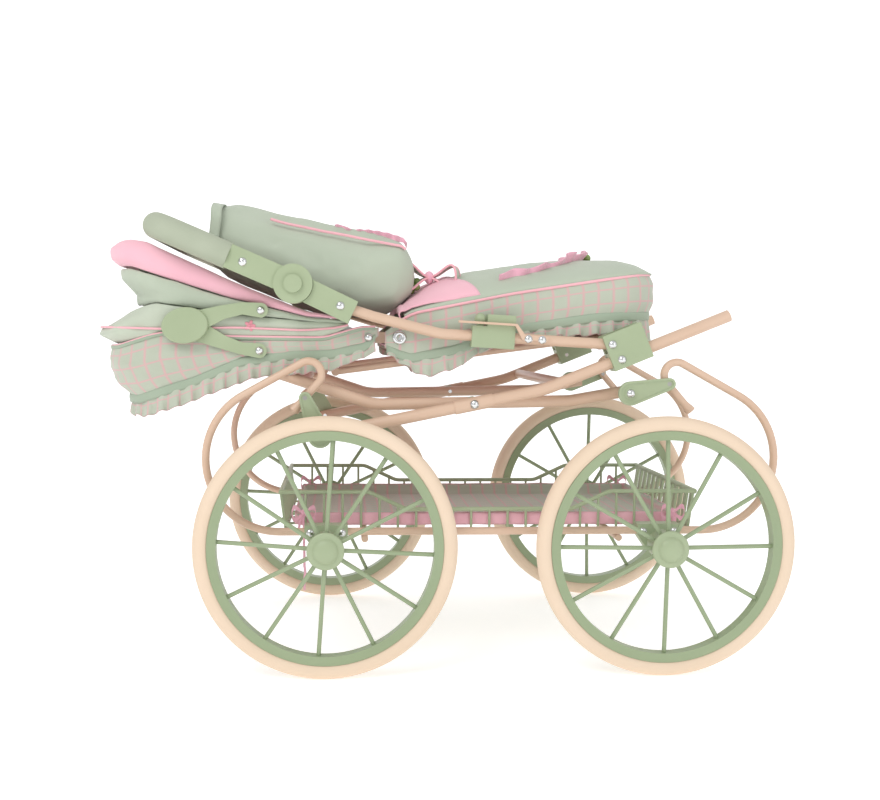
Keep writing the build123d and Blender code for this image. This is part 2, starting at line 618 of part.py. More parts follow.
def latch_strip():
    """Flat spring strip bolted to the outside of the left arm, rising over the latch collar."""
    root = ARM_BOLTS[0] - 7
    tip = LATCH_FROM_PIVOT + LATCH_LEN + 17
    ramp = ARM_BOLTS[1] + 7
    t = STRIP_T / 2
    line = [(root, -t), (ramp, -t), (ramp + 9, STRIP_RISE - t), (tip, STRIP_RISE - t)]
    line += [(tip, STRIP_RISE + t), (ramp + 7, STRIP_RISE + t), (ramp - 3, t + 3.2), (root, t + 3.2)]
    outline = [step(ARM_PIVOT, ARM_ANGLE, d, -rise) for d, rise in line]
    face = OUTER_Y + ARM_HALF
    strip = plate(outline, -face - STRIP_W - 2.0, -face - 2.0)
    foot = [(root, -t), (ramp, -t), (ramp, t + 3.2), (root, t + 3.2)]
    pad = plate([step(ARM_PIVOT, ARM_ANGLE, d, -rise) for d, rise in foot], -face - 2.0, -face)
    strip += pad
    for distance in ARM_BOLTS:
        strip -= rod(step(ARM_PIVOT, ARM_ANGLE, distance), 2.0 + SEAT, -OUTER_Y * 2, 0)
    return strip


def latch_collar():
    """Left latch collar: slides on the arm; its open fork takes the stub when the handle is up."""
    middle = step(ARM_PIVOT, ARM_ANGLE, LATCH_FROM_PIVOT + LATCH_LEN / 2)
    wall = ARM_HALF + 1.8
    block = slab(middle, ARM_ANGLE, LATCH_LEN, LATCH_ABOVE, LATCH_BELOW, -OUTER_Y - wall, -OUTER_Y + wall)
    fork_len = LATCH_LEN * 0.66
    fork_mid = step(ARM_PIVOT, ARM_ANGLE, LATCH_FROM_PIVOT + fork_len / 2)
    for y in (-OUTER_Y - wall, -OUTER_Y + FRAME_D / 2 + 0.4):
        block += slab(fork_mid, ARM_ANGLE, fork_len, LATCH_FORK, -LATCH_ABOVE + 1, y,
            y + wall - FRAME_D / 2 - 0.4)
    a = at(step(middle, ARM_ANGLE, -LATCH_LEN), -OUTER_Y)
    b = at(step(middle, ARM_ANGLE, LATCH_LEN), -OUTER_Y)
    block -= pipe([a, b], ARM_D + 0.1, 0)
    knob = step(ARM_PIVOT, ARM_ANGLE, LATCH_FROM_PIVOT + fork_len + 7.5, -LATCH_FORK + 6)
    stem = plate([step(knob, ARM_ANGLE, d, r) for d, r in ((-4, 12), (4, 12), (4, 0), (-4, 0))],
        -OUTER_Y - 3, -OUTER_Y + 3)
    return block + Pos(*at(knob, -OUTER_Y)) * Sphere(7.0) + stem


def lower_hinge():
    """Left lower half of the grip hinge: socket for the arm and the inner disc."""
    direction = LOWER_ANGLE
    middle = step(HINGE, direction, HINGE_LOWER_LEN / 2)
    half_w = HINGE_BLOCK_W / 2
    block = slab(middle, direction, HINGE_LOWER_LEN, half_w, half_w, -OUTER_Y - 10, -COT_HALF - 2.5)
    block -= rod(HINGE, HINGE_R + APART, -OUTER_Y - 20, -OUTER_Y - 0.4)
    block += rod(HINGE, HINGE_R, -OUTER_Y - 0.4, -COT_HALF - 2.5)
    path = [at(p, -OUTER_Y) for p in (ARM_BEND, *ARM_CURVE)]
    block -= pipe(path, ARM_D + 2 * SEAT, 60)
    return block - rod(HINGE_BOLT, 2.0 + SEAT, -OUTER_Y * 2, 0)


def upper_hinge():
    """Left upper half of the grip hinge: socket for the grip's bar and the outer disc."""
    middle = step(HINGE, GRIP_ANGLE, HINGE_UPPER_LEN / 2)
    half_w = HINGE_BLOCK_W / 2
    block = slab(middle, GRIP_ANGLE, HINGE_UPPER_LEN, half_w, half_w, -OUTER_Y - 12, -COT_HALF - 2.5)
    block -= rod(HINGE, HINGE_R + APART, -OUTER_Y - 0.9, 0)
    block += rod(HINGE, HINGE_R, -OUTER_Y - 14.0, -OUTER_Y - 0.9)
    block -= rod(HINGE, BUTTON_R + RUN, -OUTER_Y - 30, -OUTER_Y - 5.0)
    a = at(step(HINGE, GRIP_ANGLE, HINGE_R + 12), -OUTER_Y)
    b = at(step(HINGE, GRIP_ANGLE, GRIP_LEN), -OUTER_Y)
    block -= pipe([a, b], BAR_D + 2 * SEAT, 0)
    return block - rod(step(HINGE, GRIP_ANGLE, 62), 2.0 + SEAT, -OUTER_Y * 2, 0)


def grip_path(start_along):
    """Space points of the U-shaped grip, from the left hinge round to the right one."""
    start = step(HINGE, GRIP_ANGLE, start_along)
    return [at(start, -OUTER_Y), at(GRIP_END, -OUTER_Y), at(GRIP_END, OUTER_Y), at(start, OUTER_Y)]


def grip_bar():
    """Steel U bar inside the foam grip."""
    bar = pipe(grip_path(HINGE_R + 13), BAR_D, GRIP_CORNER)
    cut = rod(step(HINGE, GRIP_ANGLE, 62), 2.0 + SEAT, -OUTER_Y * 2, OUTER_Y * 2)
    return bar - cut


def grip_foam():
    """Foam sleeve round the U bar."""
    return pipe(grip_path(HINGE_UPPER_LEN + SEAT), GRIP_D, GRIP_CORNER, BAR_D + 2 * SEAT)


save("handle_arms", *pair(handle_arm()))
save("latch_strips", *pair(latch_strip()))
save("latch_collar_left", latch_collar())
save("latch_collar_right", across(latch_collar()))
strip_face = OUTER_Y + ARM_HALF + 2.0 + STRIP_W
strip_bolts = [dome_bolt(step(ARM_PIVOT, ARM_ANGLE, d), strip_face, OUTER_Y - ARM_HALF, 4.8, 2.0,
    2.8) for d in ARM_BOLTS]
hinge_bolt = dome_bolt(HINGE_BOLT, OUTER_Y + 10, OUTER_Y - ARM_HALF, 5.2, 2.0, 3.0)
save("handle_arm_bolts", *[b for bolt in (*strip_bolts, hinge_bolt) for b in pair(bolt)])
save("grip_hinge_lower", *pair(lower_hinge()))
save("grip_hinge_upper", *pair(upper_hinge()))
save("grip_bar", grip_bar())
save("grip_foam", grip_foam())
grip_bolt = dome_bolt(step(HINGE, GRIP_ANGLE, 62), OUTER_Y + 12, OUTER_Y - BAR_D / 2, 5.2, 2.0, 3.0)
save("grip_bolts", *pair(grip_bolt))
button = rod(HINGE, BUTTON_R, -OUTER_Y - 14.0 - BUTTON_OUT, -OUTER_Y - 5.0 - BUTTON_OUT - 0.5)
save("grip_button_left", button)
save("grip_button_right", across(button))

# ---------------------------------------------------------------- carrycot and hood


def cot_plan(inset, x_from, x_to, front=COT_FRONT_X, bottom=150.0, top=700.0):
    """Upright block with the carrycot's rounded plan, cut to a stretch of its length."""
    length = COT_REAR_X - front - 2 * inset
    middle = (COT_REAR_X + front) / 2
    sketch = RectangleRounded(length, 2 * (COT_HALF - inset), COT_CORNER - inset)
    block = extrude(Plane.XY.offset(bottom) * Pos(middle, 0) * sketch, amount=top - bottom)
    cut = Pos((x_from + x_to) / 2, 0, (bottom + top) / 2) * Box(x_to - x_from, 4 * COT_HALF, top - bottom)
    return block & cut


def band(outline, wall=COT_WALL, inset=0.0, front=COT_FRONT_X, split=(COT_FRONT_X, COT_REAR_X)):
    """A wall that follows the carrycot's plan and has this outline in side view."""
    solid = plate(outline, -COT_HALF - 1, COT_HALF + 1)
    inner = cot_plan(inset + wall, split[0] - 1, split[1] + 1, front)
    return solid & (cot_plan(inset, *split, front) - inner)


def tub(outline, floor_line, front, split):
    """A soft tub: wall with this outline and a floor along its lower line."""
    raised = [(x, z + COT_WALL) for x, z in reversed(floor_line)]
    low = plate([*floor_line, *raised], -COT_HALF, COT_HALF)
    return band(outline, front=front, split=split) + (low & cot_plan(0, *split, front))


HEAD_HEM = [(-470.0, 313.0), (-415.0, 316.0), (-351.0, 335.0), (-294.0, 358.0), (-238.0, 366.0),
    (-189.0, 368.0)]
HEAD_RIM = [(-198.0, 385.5), (-321.0, 387.5), (-386.0, 392.0), (-470.0, 376.0)]
HEAD_SKIRT = [(-470.0, 296.0), (-408.0, 296.0), (-351.0, 315.0), (-290.0, 338.0), (-189.0, 350.0)]
FOOT_RIM = [(198.0, 466.0), (174.0, 464.0), (127.0, 457.0), (25.0, 441.0), (-95.0, 417.0), (-104.0, 412.0)]
FOOT_HEM = [(-125.0, 372.0), (-96.0, 364.0), (-48.0, 373.0), (-23.0, 381.0), (41.0, 400.0), (200.0, 412.0)]
FOOT_SKIRT = [(-112.0, 361.0), (-77.0, 343.0), (-38.0, 357.0), (-20.0, 372.0)]

head_end = [(-144.0, 377.5), (-134.0, 388.0), (-134.0, 396.0), (-155.0, 405.0)]
HEAD_SPLIT = (COT_FRONT_X, COT_SPLIT_X - COT_GAP / 2)
FOOT_SPLIT = (COT_SPLIT_X + COT_GAP / 2, COT_REAR_X)
head_tub = tub(HEAD_HEM + head_end + HEAD_RIM, HEAD_HEM, HEAD_FRONT_X, HEAD_SPLIT)
head_skirt = band(HEAD_SKIRT + HEAD_HEM[::-1], 2.0, front=HEAD_FRONT_X)
stay_pin = rod(STAY_FOOT, 2.5, -COT_HALF - APART - STAY_T + 0.3, -COT_HALF + COT_WALL)
head_shell = head_tub + head_skirt + stay_pin + across(stay_pin)
head_shell -= rod(HOOD_PIVOT, 2.5 + RUN, -COT_HALF - 1, COT_HALF + 1)
save("carrycot_head", head_shell)

foot_outline = FOOT_HEM + [(200.0, 466.0)] + FOOT_RIM[1:] + [(-128.0, 390.0)]
foot_tub = tub(foot_outline, FOOT_HEM, COT_FRONT_X, FOOT_SPLIT)
foot_skirt = band(FOOT_SKIRT + FOOT_HEM[3::-1], 2.0)
foot_shell = foot_tub + foot_skirt - rod(COT_EYELET, 2.5 + SEAT, -COT_HALF - 1, COT_HALF + 1)
save("carrycot_foot", foot_shell)

# The base: two side bars, two cross bars, the pivot pins in the clamps and the two hinge straps.
STRAP_INSET = COT_WALL + 3 * APART + 2 * BOW_T
bar_tip = step(COT_PIVOT, COT_BAR_SLOPE, COT_BAR_LEN)
COT_CROSS_REACH = COT_BAR_Y + COT_BAR_D / 2 + 1.0
side_bar = pipe([at(COT_PIVOT, -COT_BAR_Y), at(bar_tip, -COT_BAR_Y)], COT_BAR_D, 0)
base = side_bar + across(side_bar)
for along in (0, COT_BAR_LEN):
    place = step(COT_PIVOT, COT_BAR_SLOPE, along)
    base += rod(place, COT_CROSS_D / 2, -COT_CROSS_REACH, COT_CROSS_REACH)
pin_reach = CLAMP_IN + CLAMP_CHEEK - 0.5
base += rod(COT_PIVOT, COT_PIN_D / 2, -pin_reach, pin_reach)
strap_out = COT_HALF - STRAP_INSET
strap = link(HOOD_PIVOT, 6.5, COT_EYELET, 6.5, -strap_out, -strap_out + BOW_T)
strap -= rod(HOOD_PIVOT, 2.5 + RUN, -COT_HALF, 0)
strap -= rod(COT_EYELET, 2.5 + SEAT, -COT_HALF, 0)
save("carrycot_base", base, *pair(strap))
eyelet = rod(COT_EYELET, 8.0, -COT_HALF - 1.5, -COT_HALF - SEAT) + rod(COT_EYELET, 2.5, -COT_HALF - 1,
    -strap_out + BOW_T)
save("cot_eyelets", *pair(eyelet))
rivet = dome_bolt(HOOD_PIVOT, COT_HALF + SEAT, strap_out - BOW_T, 5.0, 2.5, 3.0)
stay_rivet = dome_bolt(STAY_FOOT, COT_HALF + 2 * APART + STAY_T, COT_HALF + APART + STAY_T - 0.2, 4.8,
    2.0, 2.8)
save("head_rivets", *pair(rivet), *pair(stay_rivet))

apron_line = [(x, z + APART) for x, z in FOOT_RIM[:5]]
crown = [(-92.0, 421.0), (-72.0, 455.0), (-30.0, 473.0), (60.0, 484.0), (150.0, 487.0), (186.0, 482.0),
    (200.0, 470.0)]
apron = plate(apron_line + crown, -COT_HALF, COT_HALF) & cot_plan(2.0, -110.0, COT_REAR_X)
save("foot_apron", apron)

HOOD_BASE = [(-470.0, 403.0), (-459.0, 408.0), (-413.0, 422.0), (-393.0, 426.0), (-220.0, 406.5),
    (-172.0, 405.8)]
HOOD_BASE += [(-172.0, 402.0), (-200.0, 388.0), (-321.0, 389.5), (-386.0, 394.0), (-436.0, 385.5),
    (-470.0, 383.0)]
HOOD_MID = [(-470.0, 467.0), (-428.0, 467.0), (-368.0, 450.0), (-306.0, 431.0), (-218.0, 411.5),
    (-172.0, 408.6)]
HOOD_MID += [(-172.0, 406.8), (-220.0, 407.5), (-393.0, 428.0), (-413.0, 428.0), (-411.0, 439.0),
    (-430.0, 457.0)]
HOOD_MID += [(-470.0, 457.0)]
HOOD_TOP = [(-470.0, 488.0), (-460.0, 500.0), (-430.0, 502.0), (-405.0, 498.0), (-368.0, 482.0),
    (-318.0, 459.0)]
HOOD_TOP += [(-281.0, 443.0), (-253.0, 431.0), (-218.0, 418.0), (-172.0, 411.0), (-172.0, 409.6),
    (-218.0, 412.5)]
HOOD_TOP += [(-306.0, 432.5), (-368.0, 451.5), (-428.0, 469.0), (-462.0, 471.0)]
save("hood_base", band(HOOD_BASE))
save("hood_middle", band(HOOD_MID, front=HOOD_FRONT_X))
save("hood_front", band(HOOD_TOP, front=HOOD_FRONT_X))


def hood_bow(points, inset):
    """Flat U-shaped bow inside a hood layer, both ends drilled for the pivot rivets."""
    low = [(x, z - BOW_W / 2) for x, z in points]
    high = [(x, z + BOW_W / 2) for x, z in reversed(points)]
    bow = band(low + high, BOW_T, inset, HOOD_FRONT_X)
    for side in (-1, 1):
        near, far = sorted((side * (COT_HALF - inset), side * (COT_HALF - inset - BOW_T)))
        bow += rod(HOOD_PIVOT, 6.0, near, far)
    return bow - rod(HOOD_PIVOT, 2.5 + RUN, -COT_HALF, COT_HALF)


BOW_FRONT = [(-470.0, 490.0), (-430.0, 485.0), (-318.0, 446.0), (-200.0, 410.0), HOOD_PIVOT]
BOW_MIDDLE = [(-470.0, 462.0), (-420.0, 456.0), (-306.0, 426.0), (-200.0, 406.0), HOOD_PIVOT]
save("hood_bow_front", hood_bow(BOW_FRONT, COT_WALL + APART))
save("hood_bow_middle", hood_bow(BOW_MIDDLE, COT_WALL + 2 * APART + BOW_T))

# ---------------------------------------------------------------- hood stays
STAY_IN = COT_HALF + APART
STAY_MID = STAY_IN + STAY_T
STAY_OUT = STAY_MID + APART + STAY_T


def stay_arm(start, bow, y_from, y_to):
    """One curved stay arm from its rivet to the elbow, drawn as a bent flat bar."""
    middle = ((start[0] + STAY_ELBOW[0]) / 2, (start[1] + STAY_ELBOW[1]) / 2 + bow)
    knee = (start[0] * 0.75 + STAY_ELBOW[0] * 0.25, start[1] * 0.75 + STAY_ELBOW[1] * 0.25 + bow)
    arm = link(start, STAY_W / 2 + 1.5, knee, STAY_W / 2, y_from, y_to)
    arm += link(knee, STAY_W / 2, middle, STAY_W / 2 + 1, y_from, y_to)
    return arm + link(middle, STAY_W / 2 + 1, STAY_ELBOW, STAY_W, y_from, y_to)


def elbow_cap():
    """Oval knob over the elbow."""
    plane = Plane(origin=at(STAY_ELBOW, -STAY_MID - APART), x_dir=(1, 0, 0), z_dir=(0, -1, 0))
    body = extrude(plane * Rot(0, 0, 8) * Ellipse(27, 21), amount=6.5)
    return fillet(body.edges().group_by(Axis.Y)[0], 2.0)


lower_stay = stay_arm(STAY_FOOT, -4.5, -STAY_MID, -STAY_IN)
lower_stay -= rod(STAY_FOOT, 2.5 + RUN, -STAY_MID - 1, -STAY_IN + 1)
lower_stay += rod(STAY_ELBOW, 4.0, -STAY_MID - 4.0, -STAY_IN - 1)
upper_stay = stay_arm(STAY_HEAD, 6.5, -STAY_OUT, -STAY_MID - APART) + elbow_cap()
upper_stay -= rod(STAY_ELBOW, 4.0 + RUN, -STAY_MID - 4.0 - APART, -STAY_MID)
upper_stay -= rod(STAY_HEAD, 2.0 + SEAT, -STAY_OUT - 1, -STAY_IN)
save("hood_stays_lower", *pair(lower_stay))
save("hood_stays_upper", *pair(upper_stay))
hood_rivet = dome_bolt(STAY_HEAD, STAY_OUT, STAY_IN, 4.8, 2.0, 2.8)
save("stay_hood_rivets", *pair(hood_rivet))

# ---------------------------------------------------------------- changing bag
BAG = [(-331.0, 555.0), (-340.0, 514.0), (-334.0, 474.0), (-318.0, 466.0), (-218.0, 424.0), (-150.0, 419.0)]
BAG += [(-111.0, 420.0), (-93.0, 440.0), (-85.0, 474.0), (-93.0, 503.0), (-257.0, 537.0)]
bag = fillet(plate(BAG, -BAG_HALF, BAG_HALF).edges().filter_by(Axis.Y), 4.0)
tab_reach = COT_HALF + 2.5 - APART
tabs = slab((-225.0, 449.0), 0, 20.0, 7.0, 7.0, -tab_reach, tab_reach)
save("changing_bag", bag + tabs)
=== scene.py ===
# %% [markdown]
# # A folded doll's pram
# The pram stands on four spoked wheels, folded for storage. Its rods, tubes, wheels and moulded
# parts come ready from the CAD frame. This script adds the cloth, the ribbons and the finishes.

# %% Load the frame
from math import atan2, cos, pi, radians, sin

import bmesh
import bpy
from mathutils import Matrix, Vector, noise


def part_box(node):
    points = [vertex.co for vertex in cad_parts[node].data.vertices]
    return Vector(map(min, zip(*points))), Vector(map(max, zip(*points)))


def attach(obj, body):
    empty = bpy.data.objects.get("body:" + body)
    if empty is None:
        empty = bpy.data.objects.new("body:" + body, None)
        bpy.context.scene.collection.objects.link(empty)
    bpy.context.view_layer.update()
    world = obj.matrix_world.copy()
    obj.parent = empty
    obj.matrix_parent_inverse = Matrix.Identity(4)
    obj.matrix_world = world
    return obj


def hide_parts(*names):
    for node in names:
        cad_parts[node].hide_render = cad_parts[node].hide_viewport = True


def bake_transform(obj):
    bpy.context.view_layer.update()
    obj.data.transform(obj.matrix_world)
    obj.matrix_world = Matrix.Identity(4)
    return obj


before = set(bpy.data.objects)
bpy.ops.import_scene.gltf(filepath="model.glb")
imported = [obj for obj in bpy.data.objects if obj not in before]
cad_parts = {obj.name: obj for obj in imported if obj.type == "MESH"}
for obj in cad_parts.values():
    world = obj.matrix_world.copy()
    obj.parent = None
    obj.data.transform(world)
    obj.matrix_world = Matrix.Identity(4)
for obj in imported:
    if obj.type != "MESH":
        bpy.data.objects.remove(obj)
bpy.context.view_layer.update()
lo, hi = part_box("axles")
MID = (lo[0] + hi[0]) / 2
print("half way between the axles at x =", round(MID, 4))


def mm(x, y, z):
    """A place in millimetres from the middle of the wheelbase, in the scene's metres."""
    return Vector((MID + x / 1000, y / 1000, z / 1000))


# %% [markdown]
# ## Camera
# The pram is seen from its left side, a little above the basket, from about 1.3 m away. The lens
# and the small shift put the wheels as far apart and as low in the frame as they look.

# %% Camera
YAW, PITCH, ROLL = radians(2.76), radians(-3.35), radians(0.26)
ahead = Vector((sin(YAW) * cos(PITCH), cos(YAW) * cos(PITCH), sin(PITCH)))
level = Vector((cos(YAW), -sin(YAW), 0))
upward = level.cross(ahead)
side = level * cos(ROLL) + upward * sin(ROLL)
over = upward * cos(ROLL) - level * sin(ROLL)
camera_data = bpy.data.cameras.new("camera")
camera_data.sensor_width = 36.0
camera_data.lens = 42.11
camera_data.shift_x = 0.0523
camera_data.shift_y = -0.0048
camera = bpy.data.objects.new("camera", camera_data)
turn = Matrix((side, over, -ahead)).transposed().to_4x4()
camera.matrix_world = Matrix.Translation(mm(-174.1, -1343.7, 390.4)) @ turn
bpy.context.scene.collection.objects.link(camera)
bpy.context.scene.camera = camera
print("camera", [round(c, 3) for c in camera.location])

# %% [markdown]
# ## Floor and light
# A white studio sweep: the floor runs back and curves up, so that no edge shows behind the pram.
# The paper glows a little, which keeps it white. A white surround gives soft light from everywhere,
# one large lamp above left gives shape, and a weaker one fills in from the right.

# %% Studio
def add_object(name, mesh):
    piece = bpy.data.objects.new(name, mesh)
    bpy.context.scene.collection.objects.link(piece)
    return piece


sweep_mesh = bmesh.new()
bmesh.ops.create_grid(sweep_mesh, x_segments=1, y_segments=1, size=6.0)
back_edges = [e for e in sweep_mesh.edges if all(v.co.y > 5 for v in e.verts)]
raised = bmesh.ops.extrude_edge_only(sweep_mesh, edges=back_edges)["geom"]
bmesh.ops.translate(sweep_mesh, verts=[g for g in raised if isinstance(g, bmesh.types.BMVert)], vec=(0, 0, 7))
fold = [e for e in sweep_mesh.edges if all(v.co.y > 5 and abs(v.co.z) < 0.01 for v in e.verts)]
bmesh.ops.bevel(sweep_mesh, geom=fold, offset=2.5, affect="EDGES", segments=12, profile=0.5, material=-1)
data = bpy.data.meshes.new("studio_sweep")
sweep_mesh.to_mesh(data)
sweep_mesh.free()
for face in data.polygons:
    face.use_smooth = True
paper = bpy.data.materials.new("studio_paper_matt_white")
paper.use_nodes = True
paper_shader = paper.node_tree.nodes["Principled BSDF"]
paper_shader.inputs["Base Color"].default_value = (0.93, 0.93, 0.93, 1.0)
paper_shader.inputs["Roughness"].default_value = 0.9
paper_shader.inputs["Emission Color"].default_value = (1.0, 1.0, 1.0, 1.0)
paper_shader.inputs["Emission Strength"].default_value = 0.42
data.materials.append(paper)
sweep = add_object("studio_sweep", data)

world = bpy.data.worlds.new("white_room")
world.use_nodes = True
world.node_tree.nodes["Background"].inputs["Color"].default_value = (1.0, 1.0, 1.0, 1.0)
world.node_tree.nodes["Background"].inputs["Strength"].default_value = 0.72
bpy.context.scene.world = world
bpy.context.scene.view_settings.view_transform = "Standard"


def lamp(name, place, target, size, power):
    light = bpy.data.lights.new(name, "AREA")
    light.size = size
    light.energy = power
    holder = bpy.data.objects.new(name, light)
    direction = Vector(target) - Vector(place)
    holder.matrix_world = Matrix.Translation(place) @ direction.to_track_quat("-Z", "Y").to_matrix().to_4x4()
    bpy.context.scene.collection.objects.link(holder)


lamp("key_softbox", (-1.2, -1.6, 2.3), (0, 0, 0.3), 1.4, 26)
lamp("fill_softbox", (1.8, -2.0, 1.2), (0, 0, 0.3), 2.0, 9)
print("studio ready")

# %% [markdown]
# ## Colours and finishes
# Each finish is named for the real material. Colours are screen hex values turned to linear.
# `finish` starts a material, and `node` adds one node with its settings and links.

# %% Helpers for finishes
def linear(hex_colour):
    parts = [int(hex_colour[i:i + 2], 16) / 255 for i in (1, 3, 5)]
    return (*[p / 12.92 if p <= 0.04045 else ((p + 0.055) / 1.055) ** 2.4 for p in parts], 1.0)


def node(tree, kind, settings=(), links=(), **values):
    """Add one node: settings are its properties, values its sockets, links its inputs."""
    made = tree.nodes.new(kind)
    for key, value in dict(settings).items():
        setattr(made, key, value)
    for key, value in values.items():
        made.inputs[key.replace("_", " ")].default_value = value
    for key, source in dict(links).items():
        tree.links.new(source, made.inputs[key])
    return made


def finish(name, hex_colour, roughness, metallic=0.0, **sockets):
    material = bpy.data.materials.new(name)
    material.use_nodes = True
    shader = material.node_tree.nodes["Principled BSDF"]
    shader.inputs["Base Color"].default_value = linear(hex_colour)
    shader.inputs["Roughness"].default_value = roughness
    shader.inputs["Metallic"].default_value = metallic
    for key, value in sockets.items():
        shader.inputs[key.replace("_", " ")].default_value = value
    return material, material.node_tree, shader


def mottle(tree, shader, low, high, per_metre, detail=4.0):
    """Colour that drifts between two tones, as real surfaces do."""
    where = node(tree, "ShaderNodeTexCoord")
    grain = node(tree, "ShaderNodeTexNoise", links={"Vector": where.outputs["Object"]}, Scale=per_metre,
        Detail=detail)
    mix = node(tree, "ShaderNodeMix", {"data_type": "RGBA"}, {"Factor": grain.outputs["Fac"]})
    mix.inputs[6].default_value = linear(low)
    mix.inputs[7].default_value = linear(high)
    tree.links.new(mix.outputs[2], shader.inputs["Base Color"])
    return mix


def rough_skin(tree, shader, per_metre, height, strength=0.4, detail=3.0):
    """Fine surface relief, its height in metres."""
    where = node(tree, "ShaderNodeTexCoord")
    grain = node(tree, "ShaderNodeTexNoise", links={"Vector": where.outputs["Object"]}, Scale=per_metre,
        Detail=detail)
    bump = node(tree, "ShaderNodeBump", links={"Height": grain.outputs["Fac"]}, Strength=strength,
        Distance=height)
    tree.links.new(bump.outputs["Normal"], shader.inputs["Normal"])


# %% [markdown]
# ### Hard finishes
# Moulded polypropylene is matt with faint sink and flow. Powder coat has a soft orange peel.
# The tyres are dense solid foam rubber, and the round bolt heads are bright chrome.

# %% Hard finishes
sage_moulded, tree, shader = finish("polypropylene_moulded_sage", "#a0ae8c", 0.42, IOR=1.49)
mottle(tree, shader, "#99a785", "#a8b594", 22.0)
rough_skin(tree, shader, 900.0, 0.00008)
sage_rim, tree, shader = finish("abs_moulded_satin_sage", "#91a07d", 0.36, IOR=1.53)
mottle(tree, shader, "#8a9976", "#99a886", 9.0)
rough_skin(tree, shader, 500.0, 0.00006)
powder_beige, tree, shader = finish("powder_coated_steel_beige", "#d2b39b", 0.38, IOR=1.5)
mottle(tree, shader, "#cbab92", "#d9bda7", 12.0)
rough_skin(tree, shader, 420.0, 0.00005, 0.3)
tyre_foam, tree, shader = finish("eva_foam_rubber_moulded_cream", "#e2ccb4", 0.72, IOR=1.45)
mottle(tree, shader, "#dbc3a8", "#e8d4bf", 7.0)
rough_skin(tree, shader, 700.0, 0.0002, 0.5)
chrome_head, tree, shader = finish("steel_pressed_chrome_plated", "#d9dadb", 0.12, 1.0)
mottle(tree, shader, "#cfd1d2", "#e3e4e5", 60.0)
zinc_steel, tree, shader = finish("steel_drawn_zinc_plated", "#a9a8a4", 0.35, 1.0)
mottle(tree, shader, "#9c9b96", "#b5b4b0", 40.0)
grip_skin, tree, shader = finish("eva_foam_sleeve_sage", "#a9b09c", 0.78, IOR=1.45)
mottle(tree, shader, "#a2aa95", "#b1b8a4", 30.0)
rough_skin(tree, shader, 1300.0, 0.00035, 0.6)

# %% [markdown]
# ### Cloth
# The cloth is a light woven polyester. Threads are about 0.3 mm apart, drawn at 0.6 mm so that
# the weave still shows.

# %% Cloth finishes
THREAD = 0.0006
CHECK = 0.018
LINE = 0.10


def weave(tree, shader, uv, strength=0.35):
    """Over-and-under threads as relief, from two crossed waves on the cloth's own UV."""
    waves = []
    for axis in ("X", "Y"):
        bands = {"bands_direction": axis}
        wave = node(tree, "ShaderNodeTexWave", bands, {"Vector": uv}, Scale=0.314 / THREAD, Distortion=0.4)
        waves.append(wave.outputs["Fac"])
    both = node(tree, "ShaderNodeMath", {"operation": "MULTIPLY"}, {0: waves[0], 1: waves[1]})
    bump = node(tree, "ShaderNodeBump", links={"Height": both.outputs[0]}, Strength=strength, Distance=0.0002)
    tree.links.new(bump.outputs["Normal"], shader.inputs["Normal"])


def cloth(name, low, high, line=None, sheen=0.25):
    material, tree, shader = finish(name, low, 0.85, Sheen_Weight=sheen, Sheen_Roughness=0.5, IOR=1.45)
    shader.inputs["Sheen Tint"].default_value = (1, 1, 1, 1)
    uv = node(tree, "ShaderNodeUVMap", {"uv_map": "cloth"}).outputs["UV"]
    ground = mottle(tree, shader, low, high, 16.0, 6.0)
    weave(tree, shader, uv)
    if line:
        parts = node(tree, "ShaderNodeSeparateXYZ", links={"Vector": uv})
        masks = []
        for axis in ("X", "Y"):
            scaled = node(tree, "ShaderNodeMath", {"operation": "DIVIDE"}, {0: parts.outputs[axis]})
            scaled.inputs[1].default_value = CHECK
            near = node(tree, "ShaderNodeMath", {"operation": "PINGPONG"}, {0: scaled.outputs[0]})
            near.inputs[1].default_value = 0.5
            ramp = node(tree, "ShaderNodeMapRange", links={"Value": near.outputs[0]},
                From_Min=LINE * 0.25, From_Max=LINE * (1.3 if axis == "X" else 0.8))
            ramp.inputs["To Min"].default_value = 1.0
            ramp.inputs["To Max"].default_value = 0.0
            masks.append(ramp.outputs["Result"])
        lines = node(tree, "ShaderNodeMath", {"operation": "MAXIMUM"}, {0: masks[0], 1: masks[1]})
        soft = node(tree, "ShaderNodeMath", {"operation": "MULTIPLY"}, {0: lines.outputs[0]})
        soft.inputs[1].default_value = 0.6
        mix = node(tree, "ShaderNodeMix", {"data_type": "RGBA"}, {"Factor": soft.outputs[0],
            6: ground.outputs[2]})
        mix.inputs[7].default_value = linear(line)
        tree.links.new(mix.outputs[2], shader.inputs["Base Color"])
    return material


sage_cloth = cloth("polyester_woven_sage", "#aab5a2", "#bac3b1")
sage_light = cloth("polyester_woven_pale_sage", "#b4bdab", "#c4cbba")
check_cloth = cloth("polyester_woven_sage_check", "#abb3a1", "#bdc2b2", "#dc9ca6")
pink_cloth = cloth("polyester_woven_pink", "#e9aebd", "#f3c0cb")
ribbon_cloth = cloth("satin_ribbon_woven_rose", "#e2a0b6", "#f0bccb", sheen=0.6)
piping_cloth = cloth("cotton_bias_piping_pink", "#eba9b4", "#f3bcc4")
tape_cloth = cloth("polyester_bias_tape_sage", "#95a590", "#a6b39f")
lining_cloth = cloth("polyester_lining_rose", "#dfa5b2", "#ebb9c4")
print("finishes:", len(bpy.data.materials))

# %% [markdown]
# ### Finishes on the CAD pieces
# The frame's hard pieces keep their CAD shape and only need their finish.

